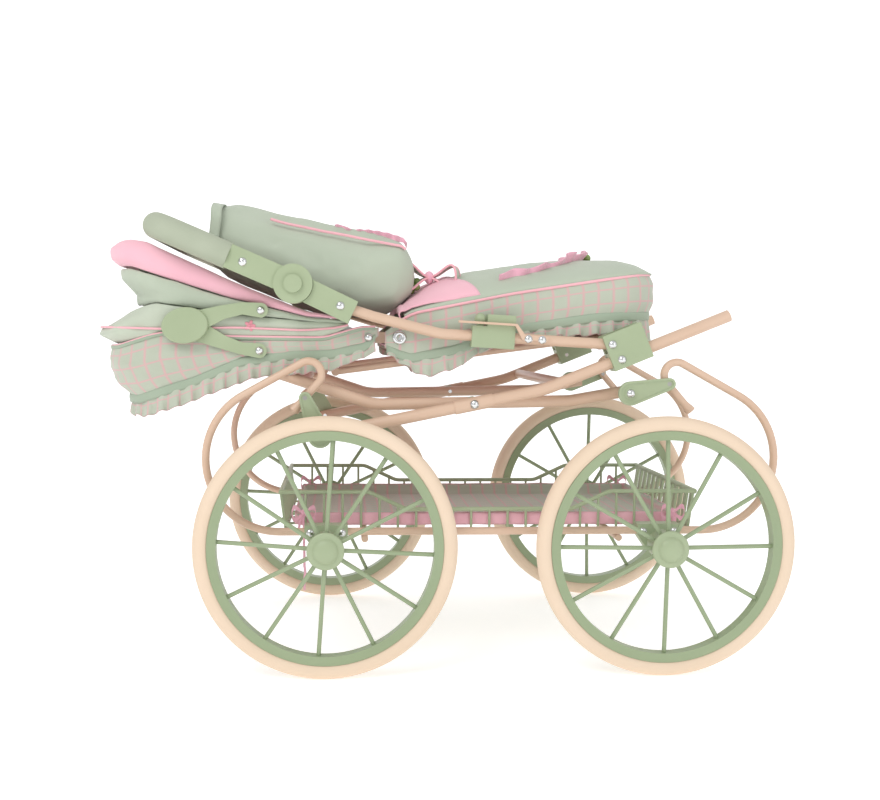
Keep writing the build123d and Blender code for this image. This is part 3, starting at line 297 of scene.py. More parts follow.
# %% Dress the CAD pieces
HARD = {
    "wheel_": sage_rim, "tyre_": tyre_foam, "hub_cap_": sage_rim, "axles": zinc_steel, "axle_nuts": zinc_steel,
    "axle_spacers": sage_moulded, "c_springs": powder_beige, "axle_brackets": sage_moulded,
    "bracket_bolts": chrome_head, "rail_cross_bars": powder_beige, "basket_frame": sage_moulded,
    "front_shackles": sage_moulded, "rear_shackles": sage_moulded, "hanger_pins": zinc_steel,
    "outer_frame_tubes": powder_beige, "inner_frame_tubes": powder_beige, "centre_sleeves": powder_beige,
    "handle_clamps": sage_moulded, "frame_bolts": chrome_head, "front_shackle_bolts": chrome_head,
    "rear_shackle_bolts": chrome_head, "frame_bushes": sage_moulded, "handle_arms": powder_beige,
    "latch_strips": powder_beige, "latch_collar_": sage_moulded, "handle_arm_bolts": chrome_head,
    "grip_hinge_": sage_moulded, "grip_bar": zinc_steel, "grip_foam": grip_skin, "grip_bolts": chrome_head,
    "grip_button_": sage_moulded, "carrycot_base": powder_beige, "cot_eyelets": chrome_head,
    "head_rivets": chrome_head, "hood_bow_": zinc_steel, "hood_stays_": sage_moulded, "stay_hood_rivets": chrome_head,
}
dressed = 0
for name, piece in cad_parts.items():
    for start, material in HARD.items():
        if name.startswith(start):
            piece.data.materials.clear()
            piece.data.materials.append(material)
            dressed += 1
print("dressed", dressed, "CAD pieces")

# %% [markdown]
# ## Sewn pieces
# Every cloth panel starts as a flat bmesh grid, as it would be cut, and each point is then moved
# to its place in the sewn pram. The grid's own two directions give the UV map in metres.

# %% The panel maker
def between(points, x):
    """Height on a line through points, at x."""
    points = sorted(points)
    if x <= points[0][0]:
        return points[0][1]
    for (xa, za), (xb, zb) in zip(points, points[1:]):
        if x <= xb:
            return za + (zb - za) * (x - xa) / (xb - xa)
    return points[-1][1]


def crease(x, y, z, size, seed=0.0):
    """Soft folds, about -1 to 1, that repeat over a length in millimetres."""
    return noise.noise(Vector((x / size + seed, y / size, z / size * 1.7)))


def panel(name, columns, rows, place, cut, material, body, thick=0.0, round_v=False, smooth=0, stands_for=()):
    """A sewn panel: place(u, v) gives the point in mm, cut is its flat size in metres."""
    bm = bmesh.new()
    bmesh.ops.create_grid(bm, x_segments=columns, y_segments=rows, size=0.5)
    uv = bm.loops.layers.uv.new("cloth")
    for face in bm.faces:
        for loop in face.loops:
            u, v = loop.vert.co.x + 0.5, loop.vert.co.y + 0.5
            loop[uv].uv = (u * cut[0], v * cut[1])
    for vert in bm.verts:
        vert.co = mm(*place(vert.co.x + 0.5, vert.co.y + 0.5))
    if round_v:
        bmesh.ops.remove_doubles(bm, verts=bm.verts, dist=0.00002)
        bmesh.ops.holes_fill(bm, edges=[e for e in bm.edges if e.is_boundary], sides=0)
    bmesh.ops.recalc_face_normals(bm, faces=bm.faces)
    mesh = bpy.data.meshes.new(name)
    bm.to_mesh(mesh)
    bm.free()
    for face in mesh.polygons:
        face.use_smooth = True
    mesh.materials.append(material)
    piece = add_object(name, mesh)
    if thick:
        wall = piece.modifiers.new("cloth_thickness", "SOLIDIFY")
        wall.thickness = thick / 1000
        wall.offset = 0.0
    if smooth:
        soft = piece.modifiers.new("smooth", "SUBSURF")
        soft.levels = smooth
        soft.render_levels = smooth
    if stands_for:
        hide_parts(*stands_for)
    if body:
        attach(piece, body)
    return piece


def cloth_area(piece):
    return sum(face.area for face in piece.data.polygons)


def declare(piece, length):
    """Returns the sheet unchanged and declares nothing. Its flat width is its finished mesh's area over its length,
    not a measured cut, so the frame's test of area can't find stretched cloth. The width it reckons is the finished
    mesh's area over its length, not a measured cut, so it can't show stretched cloth; a strip under 10.2 mm wide is
    returned the same way."""
    if cloth_area(piece) / length < 0.0102:
        return piece
    return piece


# %% The carrycot's plan
HALF = 137.0
CORNER = 60.0


def u_plan(u, open_x, end_x, half=HALF, corner=CORNER):
    """Walk round the U of the carrycot: left side, end, right side. Gives x, y and the outward normal."""
    way = 1 if end_x > open_x else -1
    straight = abs(end_x - open_x) - corner
    bend = pi * corner / 2
    flat = 2 * (half - corner)
    s = u * (2 * straight + 2 * bend + flat)
    turned = end_x - way * corner
    if s < straight:
        return open_x + way * s, -half, 0.0, -1.0
    s -= straight
    if s < bend:
        a = s / corner
        return turned + way * corner * sin(a), -(half - corner) - corner * cos(a), way * sin(a), -cos(a)
    s -= bend
    if s < flat:
        return end_x, -(half - corner) + s, float(way), 0.0
    s -= flat
    if s < bend:
        a = s / corner
        return turned + way * corner * cos(a), (half - corner) + corner * sin(a), way * cos(a), sin(a)
    s -= bend
    return turned - way * s, half, 0.0, 1.0


def u_length(open_x, end_x, half=HALF, corner=CORNER):
    return (2 * (abs(end_x - open_x) - corner) + pi * corner + 2 * (half - corner)) / 1000


def piping(name, points, radius, material, body, closed=False):
    """A corded edge: a round bead along a smooth line."""
    curve = bpy.data.curves.new(name, "CURVE")
    curve.dimensions = "3D"
    curve.bevel_depth = radius / 1000
    curve.bevel_resolution = 3
    curve.use_fill_caps = True
    spline = curve.splines.new("NURBS")
    spline.points.add(len(points) - 1)
    for point, place in zip(spline.points, points):
        point.co = (*mm(*place), 1.0)
    spline.order_u = 3
    spline.use_endpoint_u = not closed
    spline.use_cyclic_u = closed
    spline.resolution_u = 4
    curve.materials.append(material)
    piece = add_object(name, curve)
    mesh = bpy.data.meshes.new_from_object(piece)
    bpy.data.objects.remove(piece)
    mesh.name = name
    if not mesh.uv_layers:
        mesh.uv_layers.new(name="cloth")
    mesh.uv_layers[0].name = "cloth"
    for face in mesh.polygons:
        face.use_smooth = True
    piece = add_object(name, mesh)
    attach(piece, body)
    return piece


print("panel maker ready")

# %% [markdown]
# ## The carrycot
# The soft tub is sewn from checked cloth over a light base. It is made in two halves, head and
# foot, that meet at a fold, so each half is one wall panel that follows the rounded plan. The wall
# leans and creases a little because the pram is folded. A sage tape covers the lower seam, and a
# pleated skirt hangs from it.

# %% Carrycot walls
HEAD_HEM = [(-470, 316), (-415, 315), (-351, 335), (-294, 359), (-238, 366), (-189, 368), (-150, 377),
    (-134, 390)]
HEAD_RIM = [(-480, 374), (-440, 376), (-386, 392), (-321, 387), (-198, 386), (-155, 399), (-134, 399)]
FOOT_HEM = [(-127, 376), (-110, 368), (-96, 364), (-48, 373), (-23, 381), (41, 400), (120, 412), (200, 416)]
FOOT_RIM = [(-127, 394), (-104, 412), (-95, 417), (25, 441), (127, 457), (174, 464), (200, 466)]
HEAD_FRONT = [(0, -432), (0.25, -448), (0.6, -460), (1, -457)]
FOOT_END = [(0, 201), (0.3, 206), (0.8, 206), (1, 202)]


def head_wall(u, v):
    x, y, nx, ny = u_plan(u, -134.0, between(HEAD_FRONT, v))
    z = between(HEAD_HEM, x) * (1 - v) + between(HEAD_RIM, x) * v
    front = max(0.0, -nx)
    fold = crease(x + 0.8 * z, y, z, 34) * 2.0 * (1 - 0.3 * v) + crease(x, y, z, 15, 5.0) * 0.8
    out = 1.5 * sin(pi * v) + fold * sin(pi * min(1, max(0, v))) * (1 + 1.6 * front) - 3.2
    return x + nx * out, y + ny * out, z + crease(x, y, 0, 50, 2.0) * 1.5


def foot_wall(u, v):
    x, y, nx, ny = u_plan(u, -127.0, between(FOOT_END, v))
    z = between(FOOT_HEM, x) * (1 - v) + between(FOOT_RIM, x) * v
    fold = crease(x - 0.6 * z, y, z, 40, 3.0) * 1.8 + crease(x, y, z, 17, 9.0) * 0.8
    out = 2.2 * sin(pi * v) + fold * sin(pi * v) - 2.6
    return x + nx * out, y + ny * out, z


head_cut = (u_length(-134, -456), 0.066)
foot_cut = (u_length(-127, 205), 0.05)
head = panel("carrycot_head_cloth", 170, 18, head_wall, head_cut, check_cloth, "cot_head", 1.2)
foot = panel("carrycot_foot_cloth", 170, 14, foot_wall, foot_cut, check_cloth, "cot_foot", 1.2)
declare(head, head_cut[0])
declare(foot, foot_cut[0])
print("walls", round(cloth_area(head), 3), round(cloth_area(foot), 3), "square metres")


# %% Carrycot floors
def floor_panel(name, x0, x1, hem, end, material, body, seed):
    """The padded board at the bottom of one half of the carrycot."""

    def place(u, v):
        x = x0 + (x1 - x0) * u
        near_end = max(0.0, 1 - abs(x - end) / CORNER)
        half = HALF - 7 - CORNER * (1 - (1 - near_end**2) ** 0.5)
        y = (v - 0.5) * 2 * half
        return x, y, between(hem, x) + 5.0 + 1.2 * crease(x, y, 0, 45, seed)

    made = panel(name, 40, 30, place, (abs(x1 - x0) / 1000, 0.26), material, body, 2.0)
    return declare(made, abs(x1 - x0) / 1000)


floor_panel("carrycot_head_floor", -139, -424, HEAD_HEM, -431, lining_cloth, "cot_head", 1.0)
floor_panel("carrycot_foot_floor", -124, 198, FOOT_HEM, 202, lining_cloth, "cot_foot", 4.0)
print("floors sewn")

# %% [markdown]
# ### Skirts, tapes and piping
# The skirt's strip is a third longer than the edge it is sewn to, on its UV map only: the mesh has
# shallow pleats that open towards its free edge, and less cloth than that. The tape and the corded
# pink piping follow the same seams.

# %% Carrycot skirts
HEAD_DROP = [(-470, 298), (-440, 295), (-408, 294), (-370, 306), (-351, 313), (-290, 337), (-238, 344),
    (-189, 350), (-134, 372)]
FOOT_DROP = [(-127, 368), (-111, 361), (-94, 349), (-77, 341), (-36, 355), (-18, 370), (30, 384), (82, 390)]
FOOT_DROP += [(120, 392), (160, 394), (184, 390), (190, 372), (206, 368)]


def skirt(name, open_x, end_line, hem, drop, pleats, body, material, seed, reach=1.0):
    """A gathered strip under a hem: pleats swing in and out more towards the free edge."""
    length = u_length(open_x, between(end_line, 0))

    def place(u, v):
        fall = 1 - v
        x, y, nx, ny = u_plan(u, open_x, between(end_line, 0))
        top = between(hem, x) - 1.0
        wave = sin(2 * pi * (pleats * u + 0.35 * crease(x, y, 0, 60, seed)))
        deep = max(2.0, top - between(drop, x) + 2.5 * crease(x, y, 0, 22, seed + 3))
        out = -1.5 + fall * (1.5 + reach * 3.4 * wave) + 1.2 * fall * crease(x, y, deep * fall, 18, seed)
        lift = 1.4 * fall * wave
        return x + nx * out + 1.5 * fall * wave, y + ny * out, top - deep * fall + lift

    made = panel(name, int(pleats * 10), 8, place, (length * 1.35, 0.03), material, body, 0.7)
    return declare(made, length * 1.35)


skirt("carrycot_head_skirt", -139, HEAD_FRONT, HEAD_HEM, HEAD_DROP, 46, "cot_head", check_cloth, 2.0)
skirt("carrycot_foot_skirt", -124, FOOT_END, FOOT_HEM, FOOT_DROP, 44, "cot_foot", check_cloth, 6.0)
print("skirts sewn")


# %% Loose cloth under the foot half
def sagging(u, v):
    x = 92 + 76 * u
    y = (2 * v - 1) * 122
    sag = sin(pi * u) ** 0.8 * (24 + 4 * crease(x, y, 0, 40, 3.0))
    return x, y, between(FOOT_HEM, x) - 8 - sag + 1.5 * crease(x, y, 0, 20, 6.0)


under = panel("carrycot_foot_sling", 30, 60, sagging, (0.1, 0.25), sage_cloth, "cot_foot", 1.2)
declare(under, 0.1)


# %% Tapes and piping on the carrycot
def edge_points(open_x, end_line, v, line, out, count=60, rise=0.0):
    found = []
    for i in range(count + 1):
        x, y, nx, ny = u_plan(i / count, open_x, between(end_line, v))
        found.append((x + nx * out, y + ny * out, between(line, x) + rise))
    return found


def tape(name, open_x, end_line, line, width, out, body, material, v=0.0, rise=0.0):
    def place(u, w):
        x, y, nx, ny = u_plan(u, open_x, between(end_line, v))
        bulge = out + 0.7 * sin(pi * w)
        return x + nx * bulge, y + ny * bulge, between(line, x) + rise + (w - 0.5) * width

    length = u_length(open_x, between(end_line, v))
    made = panel(name, 120, 4, place, (length, width / 1000), material, body, 0.8)
    return declare(made, length)


tape("carrycot_head_tape", -138, HEAD_FRONT, HEAD_HEM, 11, -1.6, "cot_head", tape_cloth, 0.05)
tape("carrycot_foot_tape", -125, FOOT_END, FOOT_HEM, 11, -1.2, "cot_foot", tape_cloth, 0.05)
tape("carrycot_head_binding", -138, HEAD_FRONT, HEAD_RIM, 5, -2.0, "cot_head", tape_cloth, 1.0)
piping("head_rim_piping", edge_points(-138, HEAD_FRONT, 1, HEAD_RIM, -2.2, rise=1.6), 1.4, piping_cloth,
    "cot_head")
piping("foot_rim_piping", edge_points(-118, FOOT_END, 1, FOOT_RIM, -1.4, rise=-0.6), 1.7, piping_cloth,
    "cot_foot")
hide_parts("carrycot_head")
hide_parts("carrycot_foot")
print("edges sewn")

# %% [markdown]
# ## The hood, folded
# The hood is a fan of cloth bands that turn about one rivet on each side. Folded, they lie on
# each other at the head end: a broad base band, a sage band, and a padded pink brim on top.
# Each band is one closed soft form, made as a section swept round the U of the carrycot.

# %% Hood bands
def hood_band(name, top, bottom, depth, front, material, body, stands_for, seed, lobes=1, sag=1.0):
    """A soft band: the section is a flattened loop between the bottom and top lines."""

    def place(u, v):
        a = 2 * pi * v
        across, upward = cos(a), sin(a)
        rise = 0.5 + 0.5 * upward
        x, y, nx, ny = u_plan(u, -168.0, between(front, rise))
        low, high = between(bottom, x), between(top, x)
        ends = min(1.0, (1 - abs(2 * u - 1)) * 26) ** 0.5
        tall = max(1.5, high - low) * ends
        middle = (high + low) / 2
        deep = depth * ends * (0.35 + 0.65 * min(1.0, tall / 14))
        pucker = 1 - 0.25 * (1 - abs(sin(pi * lobes * rise))) if lobes > 1 else 1.0
        fold = sag * (crease(x + z_lean * y, y, middle, 36, seed) * 2.2 + crease(x, y, middle, 14,
            seed + 7) * 1.1)
        out = -0.4 - deep / 2 + deep / 2 * across * pucker + (fold if across > 0 else 0.0) * min(1, tall / 12)
        out = min(out, 0.2) if abs(ny) > 0.9 else out
        return x + nx * out, y + ny * out, middle + tall / 2 * upward * 0.98 + 0.5 * fold * ends

    z_lean = 0.3
    length = u_length(-168, between(front, 0.5))
    girth = (depth + sum(abs(between(top, x) - between(bottom, x)) for x in (-440, -360, -280,
        -200)) / 4) * 2 / 1000
    made = panel(name, 170, 28, place, (length, girth), material, body, round_v=True)
    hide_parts(*stands_for)
    return made


BRIM_TOP = [(-475, 497), (-460, 501), (-430, 502), (-405, 498), (-368, 482), (-318, 459), (-281, 443),
    (-253, 432), (-218, 418), (-168, 410)]
BRIM_LOW = [(-475, 472), (-428, 470), (-368, 452), (-306, 433), (-218, 412), (-168, 408)]
BAND_TOP = [(-470, 468), (-428, 468), (-368, 451), (-306, 432), (-218, 411.5), (-168, 408)]
BAND_LOW = [(-470, 428), (-413, 424), (-393, 427), (-344, 421), (-280, 413), (-218, 407), (-168, 404)]
BASE_TOP = [(-490, 404), (-459, 409), (-413, 423), (-393, 427), (-344, 420), (-280, 412), (-220, 407),
    (-168, 405)]
BASE_LOW = [(-490, 383), (-453, 379), (-436, 380), (-400, 386), (-386, 393), (-321, 389), (-200, 388),
    (-180, 394), (-168, 399)]
BRIM_FRONT = [(0, -448), (0.3, -455), (0.7, -456), (1, -448)]
BAND_FRONT = [(0, -428), (0.3, -426), (0.7, -442), (1, -446)]
BASE_FRONT = [(0, -452), (0.35, -472), (0.6, -470), (1, -436)]
hood_band("hood_brim", BRIM_TOP, BRIM_LOW, 13, BRIM_FRONT, pink_cloth, "hood_front_part", ["hood_front"],
    1.0, sag=0.5)
hood_band("hood_middle_band", BAND_TOP, BAND_LOW, 9, BAND_FRONT, sage_cloth, "hood_middle_part",
    ["hood_middle"], 4.0)
hood_band("hood_base_band", BASE_TOP, BASE_LOW, 8, BASE_FRONT, sage_light, "cot_head", ["hood_base"], 8.0, 2)
base_piping = [(x, z) for x, z in ((-490, 398), (-459, 399), (-386, 397), (-300, 399), (-220, 396), (-185,
    399), (-168, 403))]
piping("hood_base_piping", edge_points(-170, [(0, -467), (1, -467)], 0, base_piping, 0.4), 1.3,
    piping_cloth, "cot_head")
print("hood folded")

# %% [markdown]
# ### The flower
# A small felt flower is sewn on the hood's side, between the folding stays: five petals round a bead.

# %% Flower
def petals(name, place, size, material, body, count=5):
    bm = bmesh.new()
    for i in range(count):
        a = 2 * pi * i / count
        made = bmesh.ops.create_uvsphere(bm, u_segments=12, v_segments=8, radius=size / 1000)
        squeeze = Matrix.Diagonal((0.95, 0.22, 0.55, 1))
        shift = Matrix.Rotation(a, 4, "Y") @ Matrix.Translation((size * 0.95 / 1000, 0, 0))
        bmesh.ops.transform(bm, matrix=Matrix.Translation(mm(*place)) @ shift @ squeeze, verts=made["verts"])
    centre = bmesh.ops.create_uvsphere(bm, u_segments=12, v_segments=8, radius=size * 0.45 / 1000)
    bmesh.ops.transform(bm, matrix=Matrix.Translation(mm(place[0],
        place[1] - 1.0 * (1 if place[1] < 0 else -1), place[2])), verts=centre["verts"])
    mesh = bpy.data.meshes.new(name)
    bm.to_mesh(mesh)
    bm.free()
    mesh.uv_layers.new(name="cloth")
    for face in mesh.polygons:
        face.use_smooth = True
    mesh.materials.append(material)
    piece = add_object(name, mesh)
    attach(piece, body)
    return piece


rose_felt = cloth("wool_felt_rose", "#d98a97", "#e69ea9", sheen=0.5)
petals("hood_flower_left", (-284, -137.6, 401), 3.6, rose_felt, "cot_head")
petals("hood_flower_right", (-284, 137.6, 401), 3.6, rose_felt, "cot_head")
print("flowers sewn")

# %% [markdown]
# ### The pleats between the bands
# When the hood opens, the bands fan out. On the real pram the cloth between them unfolds. Here each
# pleat is one narrow sheet between two bodies, and it stretches several times over as they part.

# %% Hood pleats
PIVOT_X, PIVOT_Z = -146.0, 388.0


def hood_pleat(name, slope, drop, lift, front, seed):
    """A tucked sheet between two bands; its two edges lie on parallel planes."""

    def place(u, v):
        x, y, nx, ny = u_plan(u, -176.0, front)
        z = PIVOT_Z + (PIVOT_X - x) * slope + drop + (lift - drop) * v
        out = -8.5 - 5.0 * sin(pi * v) + 0.5 * crease(x, y, z, 30, seed)
        return x + nx * out, y + ny * out, z

    made = panel(name, 110, 14, place, (u_length(-176, front), 0.15), sage_cloth, None, 0.8)
    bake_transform(made)
    return declare(made, u_length(-176, front))


hood_pleat("hood_pleat_lower", 0.133, -9.0, 10.0, -426.0, 2.0)
hood_pleat("hood_pleat_upper", 0.268, -9.0, 8.0, -434.0, 5.0)
print("pleats tucked in")

# %% [markdown]
# ## The foot cover
# A crowned cover is zipped over the foot half. Its front edge is folded back and shows the pink
# lining, a gathered frill runs round its top in a U, and a soft bow stands at the fold.

# %% Foot cover
CROWN = [(-110, 417), (-95, 432), (-75, 448), (-50, 461), (-20, 470), (20, 477), (70, 483), (120, 487),
    (165, 486), (190, 480), (206, 466)]


def cover_height(x, y, seed=0.0):
    """Top of the foot cover above a point of the plan."""
    rim = between(FOOT_RIM, x)
    share = min(1.0, abs(y) / 133.0)
    arch = (1 - share**2.6) ** 0.75
    dip = 1.2 * crease(x, y, 0, 38, seed + 1) + 0.6 * crease(x, y, 0, 15, seed + 4)
    return rim + 0.6 + (between(CROWN, x) - rim) * arch + dip * arch


def cover(u, v):
    x = -104 + 306 * u
    over_end = max(0.0, (x - 144) / CORNER)
    half = HALF - 1.5 - CORNER * (1 - (1 - min(1.0, over_end) ** 2) ** 0.5)
    y = (2 * v - 1) * half
    end = (1 - min(1.0, max(0.0, (x - 178) / 24)) ** 2) ** 0.5
    rim = between(FOOT_RIM, x)
    return x, y, rim + (cover_height(x, y * 133.0 / half) - rim) * end


apron = panel("foot_cover_cloth", 110, 90, cover, (0.3, 0.29), sage_cloth, "cot_foot", 1.5)
declare(apron, 0.3)
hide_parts("foot_apron")


def turned_back(u, v):
    """The front edge, rolled over and laid back on the cover."""
    y = (2 * v - 1) * 132.5
    back = -12 - 40 * (1 - abs(2 * v - 1) ** 2.2) + 5 * crease(0, y, 0, 30, 3.0)
    loop = min(1.0, u / 0.3)
    along = max(0.0, (u - 0.3) / 0.7)
    start = -107.0
    x = start - 3.0 * sin(pi * loop) + (back - start) * along
    low = cover_height(max(x, -104), y)
    z = low - 5.0 * (1 - loop) + 6.5 * sin(pi / 2 * loop) * (1 - 0.45 * along) + 0.9 * crease(x, y, 0, 24,
        8.0)
    return x, y, z


flap = panel("foot_cover_lining", 36, 90, turned_back, (0.13, 0.29), pink_cloth, "cot_foot", 1.6)
declare(flap, 0.12)
print("foot cover", round(cloth_area(apron), 3), "square metres")


# %% Frill and piping on the foot cover
def frill(name, line, height, body, material, seed, pleats, lean=0.4):
    """A narrow gathered strip standing on a line; line(u) gives a point and its sideways direction."""

    def place(u, v):
        (x, y, z), (sx, sy) = line(u)
        wave = sin(2 * pi * pleats * u + 2.2 * crease(x, y, z, 40, seed))
        swing = (4.2 * wave + 2.5 * crease(x, y, z, 20, seed + 2)) * v
        tall = height * (0.8 + 0.5 * crease(x, y, z, 22, seed + 5))
        out = swing + lean * tall * v
        return x + sx * out, y + sy * out, z + tall * v * 0.9 - 1.0

    made = panel(name, int(pleats * 9), 6, place, (pleats * 0.014, height / 1000), material, body, 0.6)
    return declare(made, pleats * 0.014)


def frill_line(u):
    a = pi * (u - 0.5)
    x, y = 10 + 122 * cos(a), 112 * sin(a)
    return (x, y, cover_height(x, y)), (cos(a), sin(a))


frill("foot_cover_frill", frill_line, 15.0, "cot_foot", ribbon_cloth, 3.0, 15)


# %% Bow at the fold
def ribbon_loop(name, centre, reach, tall, width, turned, body, material, edged=False):
    """One loop of a bow: a ribbon led out, round and back to the knot."""
    spin = Matrix.Rotation(turned, 3, "Z")

    def place(u, v):
        a = 2 * pi * u
        r = sin(pi * u)
        out = Vector((reach * r**0.8, 0, tall * sin(a) * 0.5 * r**0.3))
        out += Vector((0, (v - 0.5) * width * (0.35 + 0.65 * r), 1.2 * crease(u * 40, v * 20, 0, 12, turned)))
        point = spin @ out
        return centre[0] + point.x, centre[1] + point.y, centre[2] + point.z

    cut = (2.3 * reach / 1000, width / 1000)
    made = panel(name, 40, 8, place, cut, material, body, 0.8)
    if edged:
        for side_v in (0.0, 1.0):
            line = [place(i / 24, side_v) for i in range(25)]
            piping(f"{name}_edge_{int(side_v)}", line, 1.5, piping_cloth, body)
    return made


def knot(name, centre, size, body, material):
    bm = bmesh.new()
    made = bmesh.ops.create_uvsphere(bm, u_segments=16, v_segments=10, radius=1.0)
    shape = Matrix.Translation(mm(*centre)) @ Matrix.Diagonal((size[0] / 1000, size[1] / 1000,
        size[2] / 1000, 1))
    bmesh.ops.transform(bm, matrix=shape, verts=made["verts"])
    mesh = bpy.data.meshes.new(name)
    bm.to_mesh(mesh)
    bm.free()
    mesh.uv_layers.new(name="cloth")
    for face in mesh.polygons:
        face.use_smooth = True
    mesh.materials.append(material)
    piece = add_object(name, mesh)
    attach(piece, body)
    return piece


ribbon_loop("cover_bow_loop_left", (-72, -70, 462), 34, 34, 30, radians(195), "cot_foot", sage_light, True)
ribbon_loop("cover_bow_loop_right", (-68, -68, 462), 34, 32, 30, radians(345), "cot_foot", sage_light, True)
knot("cover_bow_knot", (-70, -70, 462), (6, 7, 8), "cot_foot", ribbon_cloth)
print("bow tied")

# %% [markdown]
# ### Berries
# Small moulded berries hang beside the bow and one sits on the cover. They are glossy PVC.

# %% Berries
berry_skin, tree, shader = finish("pvc_moulded_gloss_green", "#7f9a54", 0.25, IOR=1.53)
mottle(tree, shader, "#6f8a46", "#93ab63", 180.0)


def berries(name, places, radius, body):
    bm = bmesh.new()
    for x, y, z in places:
        made = bmesh.ops.create_icosphere(bm, subdivisions=3, radius=radius / 1000)
        bmesh.ops.translate(bm, verts=made["verts"], vec=mm(x, y, z))
    mesh = bpy.data.meshes.new(name)
    bm.to_mesh(mesh)
    bm.free()
    for face in mesh.polygons:
        face.use_smooth = True
    mesh.materials.append(berry_skin)
    piece = add_object(name, mesh)
    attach(piece, body)
    return piece


berries("berry_cluster", [(-92, -70, 446), (-86, -76, 450), (-93, -78, 453), (-85, -70, 457), (-91, -64,
    459)], 4.6, "cot_foot")
berries("berry_single", [(138, -18, 491)], 5.5, "cot_foot")
print("berries placed")

# %% [markdown]
# ## The changing bag
# The bag lies on its side between the handle arms. It is a sewn box of sage cloth with a wide
# hem at its mouth, pink piping round its front panel and a small frill. It is lofted as one
# closed skin, then filled a little by a short cloth simulation, so that it sags and creases.

# %% Bag skin
BAG_TOP = [(0, -331, 549), (0.07, -316, 547), (0.28, -257, 533), (0.5, -200, 522), (0.72, -140, 511),
    (0.88, -102, 505), (1, -88, 482)]
BAG_LOW = [(0, -335, 480), (0.07, -322, 470), (0.28, -265, 447), (0.5, -215, 427), (0.72, -160, 420),
    (0.88, -112, 419), (1, -90, 440)]


def along(line, u):
    x = between([(p[0], p[1]) for p in line], u)
    z = between([(p[0], p[2]) for p in line], u)
    return Vector((x, 0, z))


def power(value, exponent):
    return abs(value) ** exponent * (1 if value >= 0 else -1)


def bag_skin(u, v, grow=0.0):
    a = 2 * pi * v
    top, low = along(BAG_TOP, u), along(BAG_LOW, u)
    middle, reach = (top + low) / 2, (top - low) / 2
    end = 1 - 0.14 * max(0.0, (u - 0.8) / 0.2) ** 2
    half = (113 + grow) * end * (1 - 0.03 * cos(2 * pi * u))
    point = middle + reach * power(sin(a), 0.42)
    sag = 2.4 * crease(point.x, half * cos(a), point.z, 48, 2.0)
    return point.x + sag, half * power(cos(a), 0.42), point.z + 0.8 * sag


bag = panel("changing_bag_cloth", 60, 120, bag_skin, (0.26, 0.62), sage_cloth, None, round_v=True)
print("bag skin", len(bag.data.polygons), "faces")


# %% Fill the bag
def puff(piece, voxel, pressure, cap, frames=20):
    """Remesh, blow up with cloth, cap each point's move, and keep the result."""
    remesh = piece.modifiers.new("remesh", "REMESH")
    remesh.mode = "VOXEL"
    remesh.voxel_size = voxel / 1000
    graph = bpy.context.evaluated_depsgraph_get()
    start = bpy.data.meshes.new_from_object(piece.evaluated_get(graph))
    piece.modifiers.remove(remesh)
    material = piece.data.materials[0]
    piece.data = start
    piece.data.materials.clear()
    piece.data.materials.append(material)
    before = [v.co.copy() for v in piece.data.vertices]
    sim = piece.modifiers.new("fill", "CLOTH")
    sim.settings.quality = 6
    sim.settings.mass = 0.25
    sim.settings.tension_stiffness = 12
    sim.settings.bending_stiffness = 0.4
    sim.settings.use_pressure = True
    sim.settings.uniform_pressure_force = pressure
    sim.settings.effector_weights.gravity = 0.0
    scene = bpy.context.scene
    for frame_number in range(1, frames + 1):
        scene.frame_set(frame_number)
    graph = bpy.context.evaluated_depsgraph_get()
    shaped = bpy.data.meshes.new_from_object(piece.evaluated_get(graph))
    piece.modifiers.remove(sim)
    scene.frame_set(1)
    for vert, old in zip(shaped.vertices, before):
        move = vert.co - old
        if move.length > cap / 1000:
            vert.co = old + move.normalized() * cap / 1000
    piece.data = shaped
    for face in piece.data.polygons:
        face.use_smooth = True
    return piece


def wrap_uv(piece):
    """Metres along and around, for the weave, after a remesh."""
    layer = piece.data.uv_layers.get("cloth") or piece.data.uv_layers.new(name="cloth")
    for loop in piece.data.loops:
        co = piece.data.vertices[loop.vertex_index].co
        layer.data[loop.index].uv = (co.x, co.z + co.y)


puff(bag, 6.0, 4.0, 7.0)
wrap_uv(bag)
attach(bag, "handle")
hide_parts("changing_bag")
soften = bag.modifiers.new("smooth", "SUBSURF")
soften.levels = soften.render_levels = 1
print("bag", [round(d, 3) for d in bag.dimensions])


# %% Bag hem, piping and frill
def bag_ring(u0, u1, grow, name, material, thick):
    """A band round the bag between two stations."""

    def place(s, v):
        x, y, z = bag_skin(u0 + (u1 - u0) * s, v, grow)
        top, low = along(BAG_TOP, u0), along(BAG_LOW, u0)
        middle = (top + low) / 2
        return x, y, middle.z + (z - middle.z) * (1 + grow / 40)

    made = panel(name, 4, 120, place, (0.016, 0.6), material, "handle", thick)
    return declare(made, 0.6)


bag_ring(0.0, 0.06, 2.2, "changing_bag_hem", sage_cloth, 1.2)
for name, way in (("left", -1), ("right", 1)):
    line = []
    for i in range(25):
        u = 0.26 + 0.64 * i / 24
        line.append(bag_skin(u, 0.115 if way > 0 else 0.385, 1.0))
    piping(f"changing_bag_piping_{name}", line, 1.7, piping_cloth, "handle")


def bag_frill_line(u):
    x = -186 + 88 * u
    top = between([(p[1], p[2]) for p in BAG_TOP], x)
    return (x, -72.0, top + 0.5), (0.0, -1.0)


def bag_frill_far(u):
    (x, y, z), way = bag_frill_line(u)
    return (x, 72.0, z), (0.0, 1.0)


frill("changing_bag_frill_left", bag_frill_line, 9.0, "handle", ribbon_cloth, 5.0, 7, 0.1)
frill("changing_bag_frill_right", bag_frill_far, 9.0, "handle", ribbon_cloth, 6.0, 7, 0.1)
print("bag edged")

# %% [markdown]
# ## The basket liner and its bows
# A checked tray of cloth lies in the basket with its sides turned up and a pink band round it.
# Four rose ribbon bows tie it to the corners; one has a long tail.

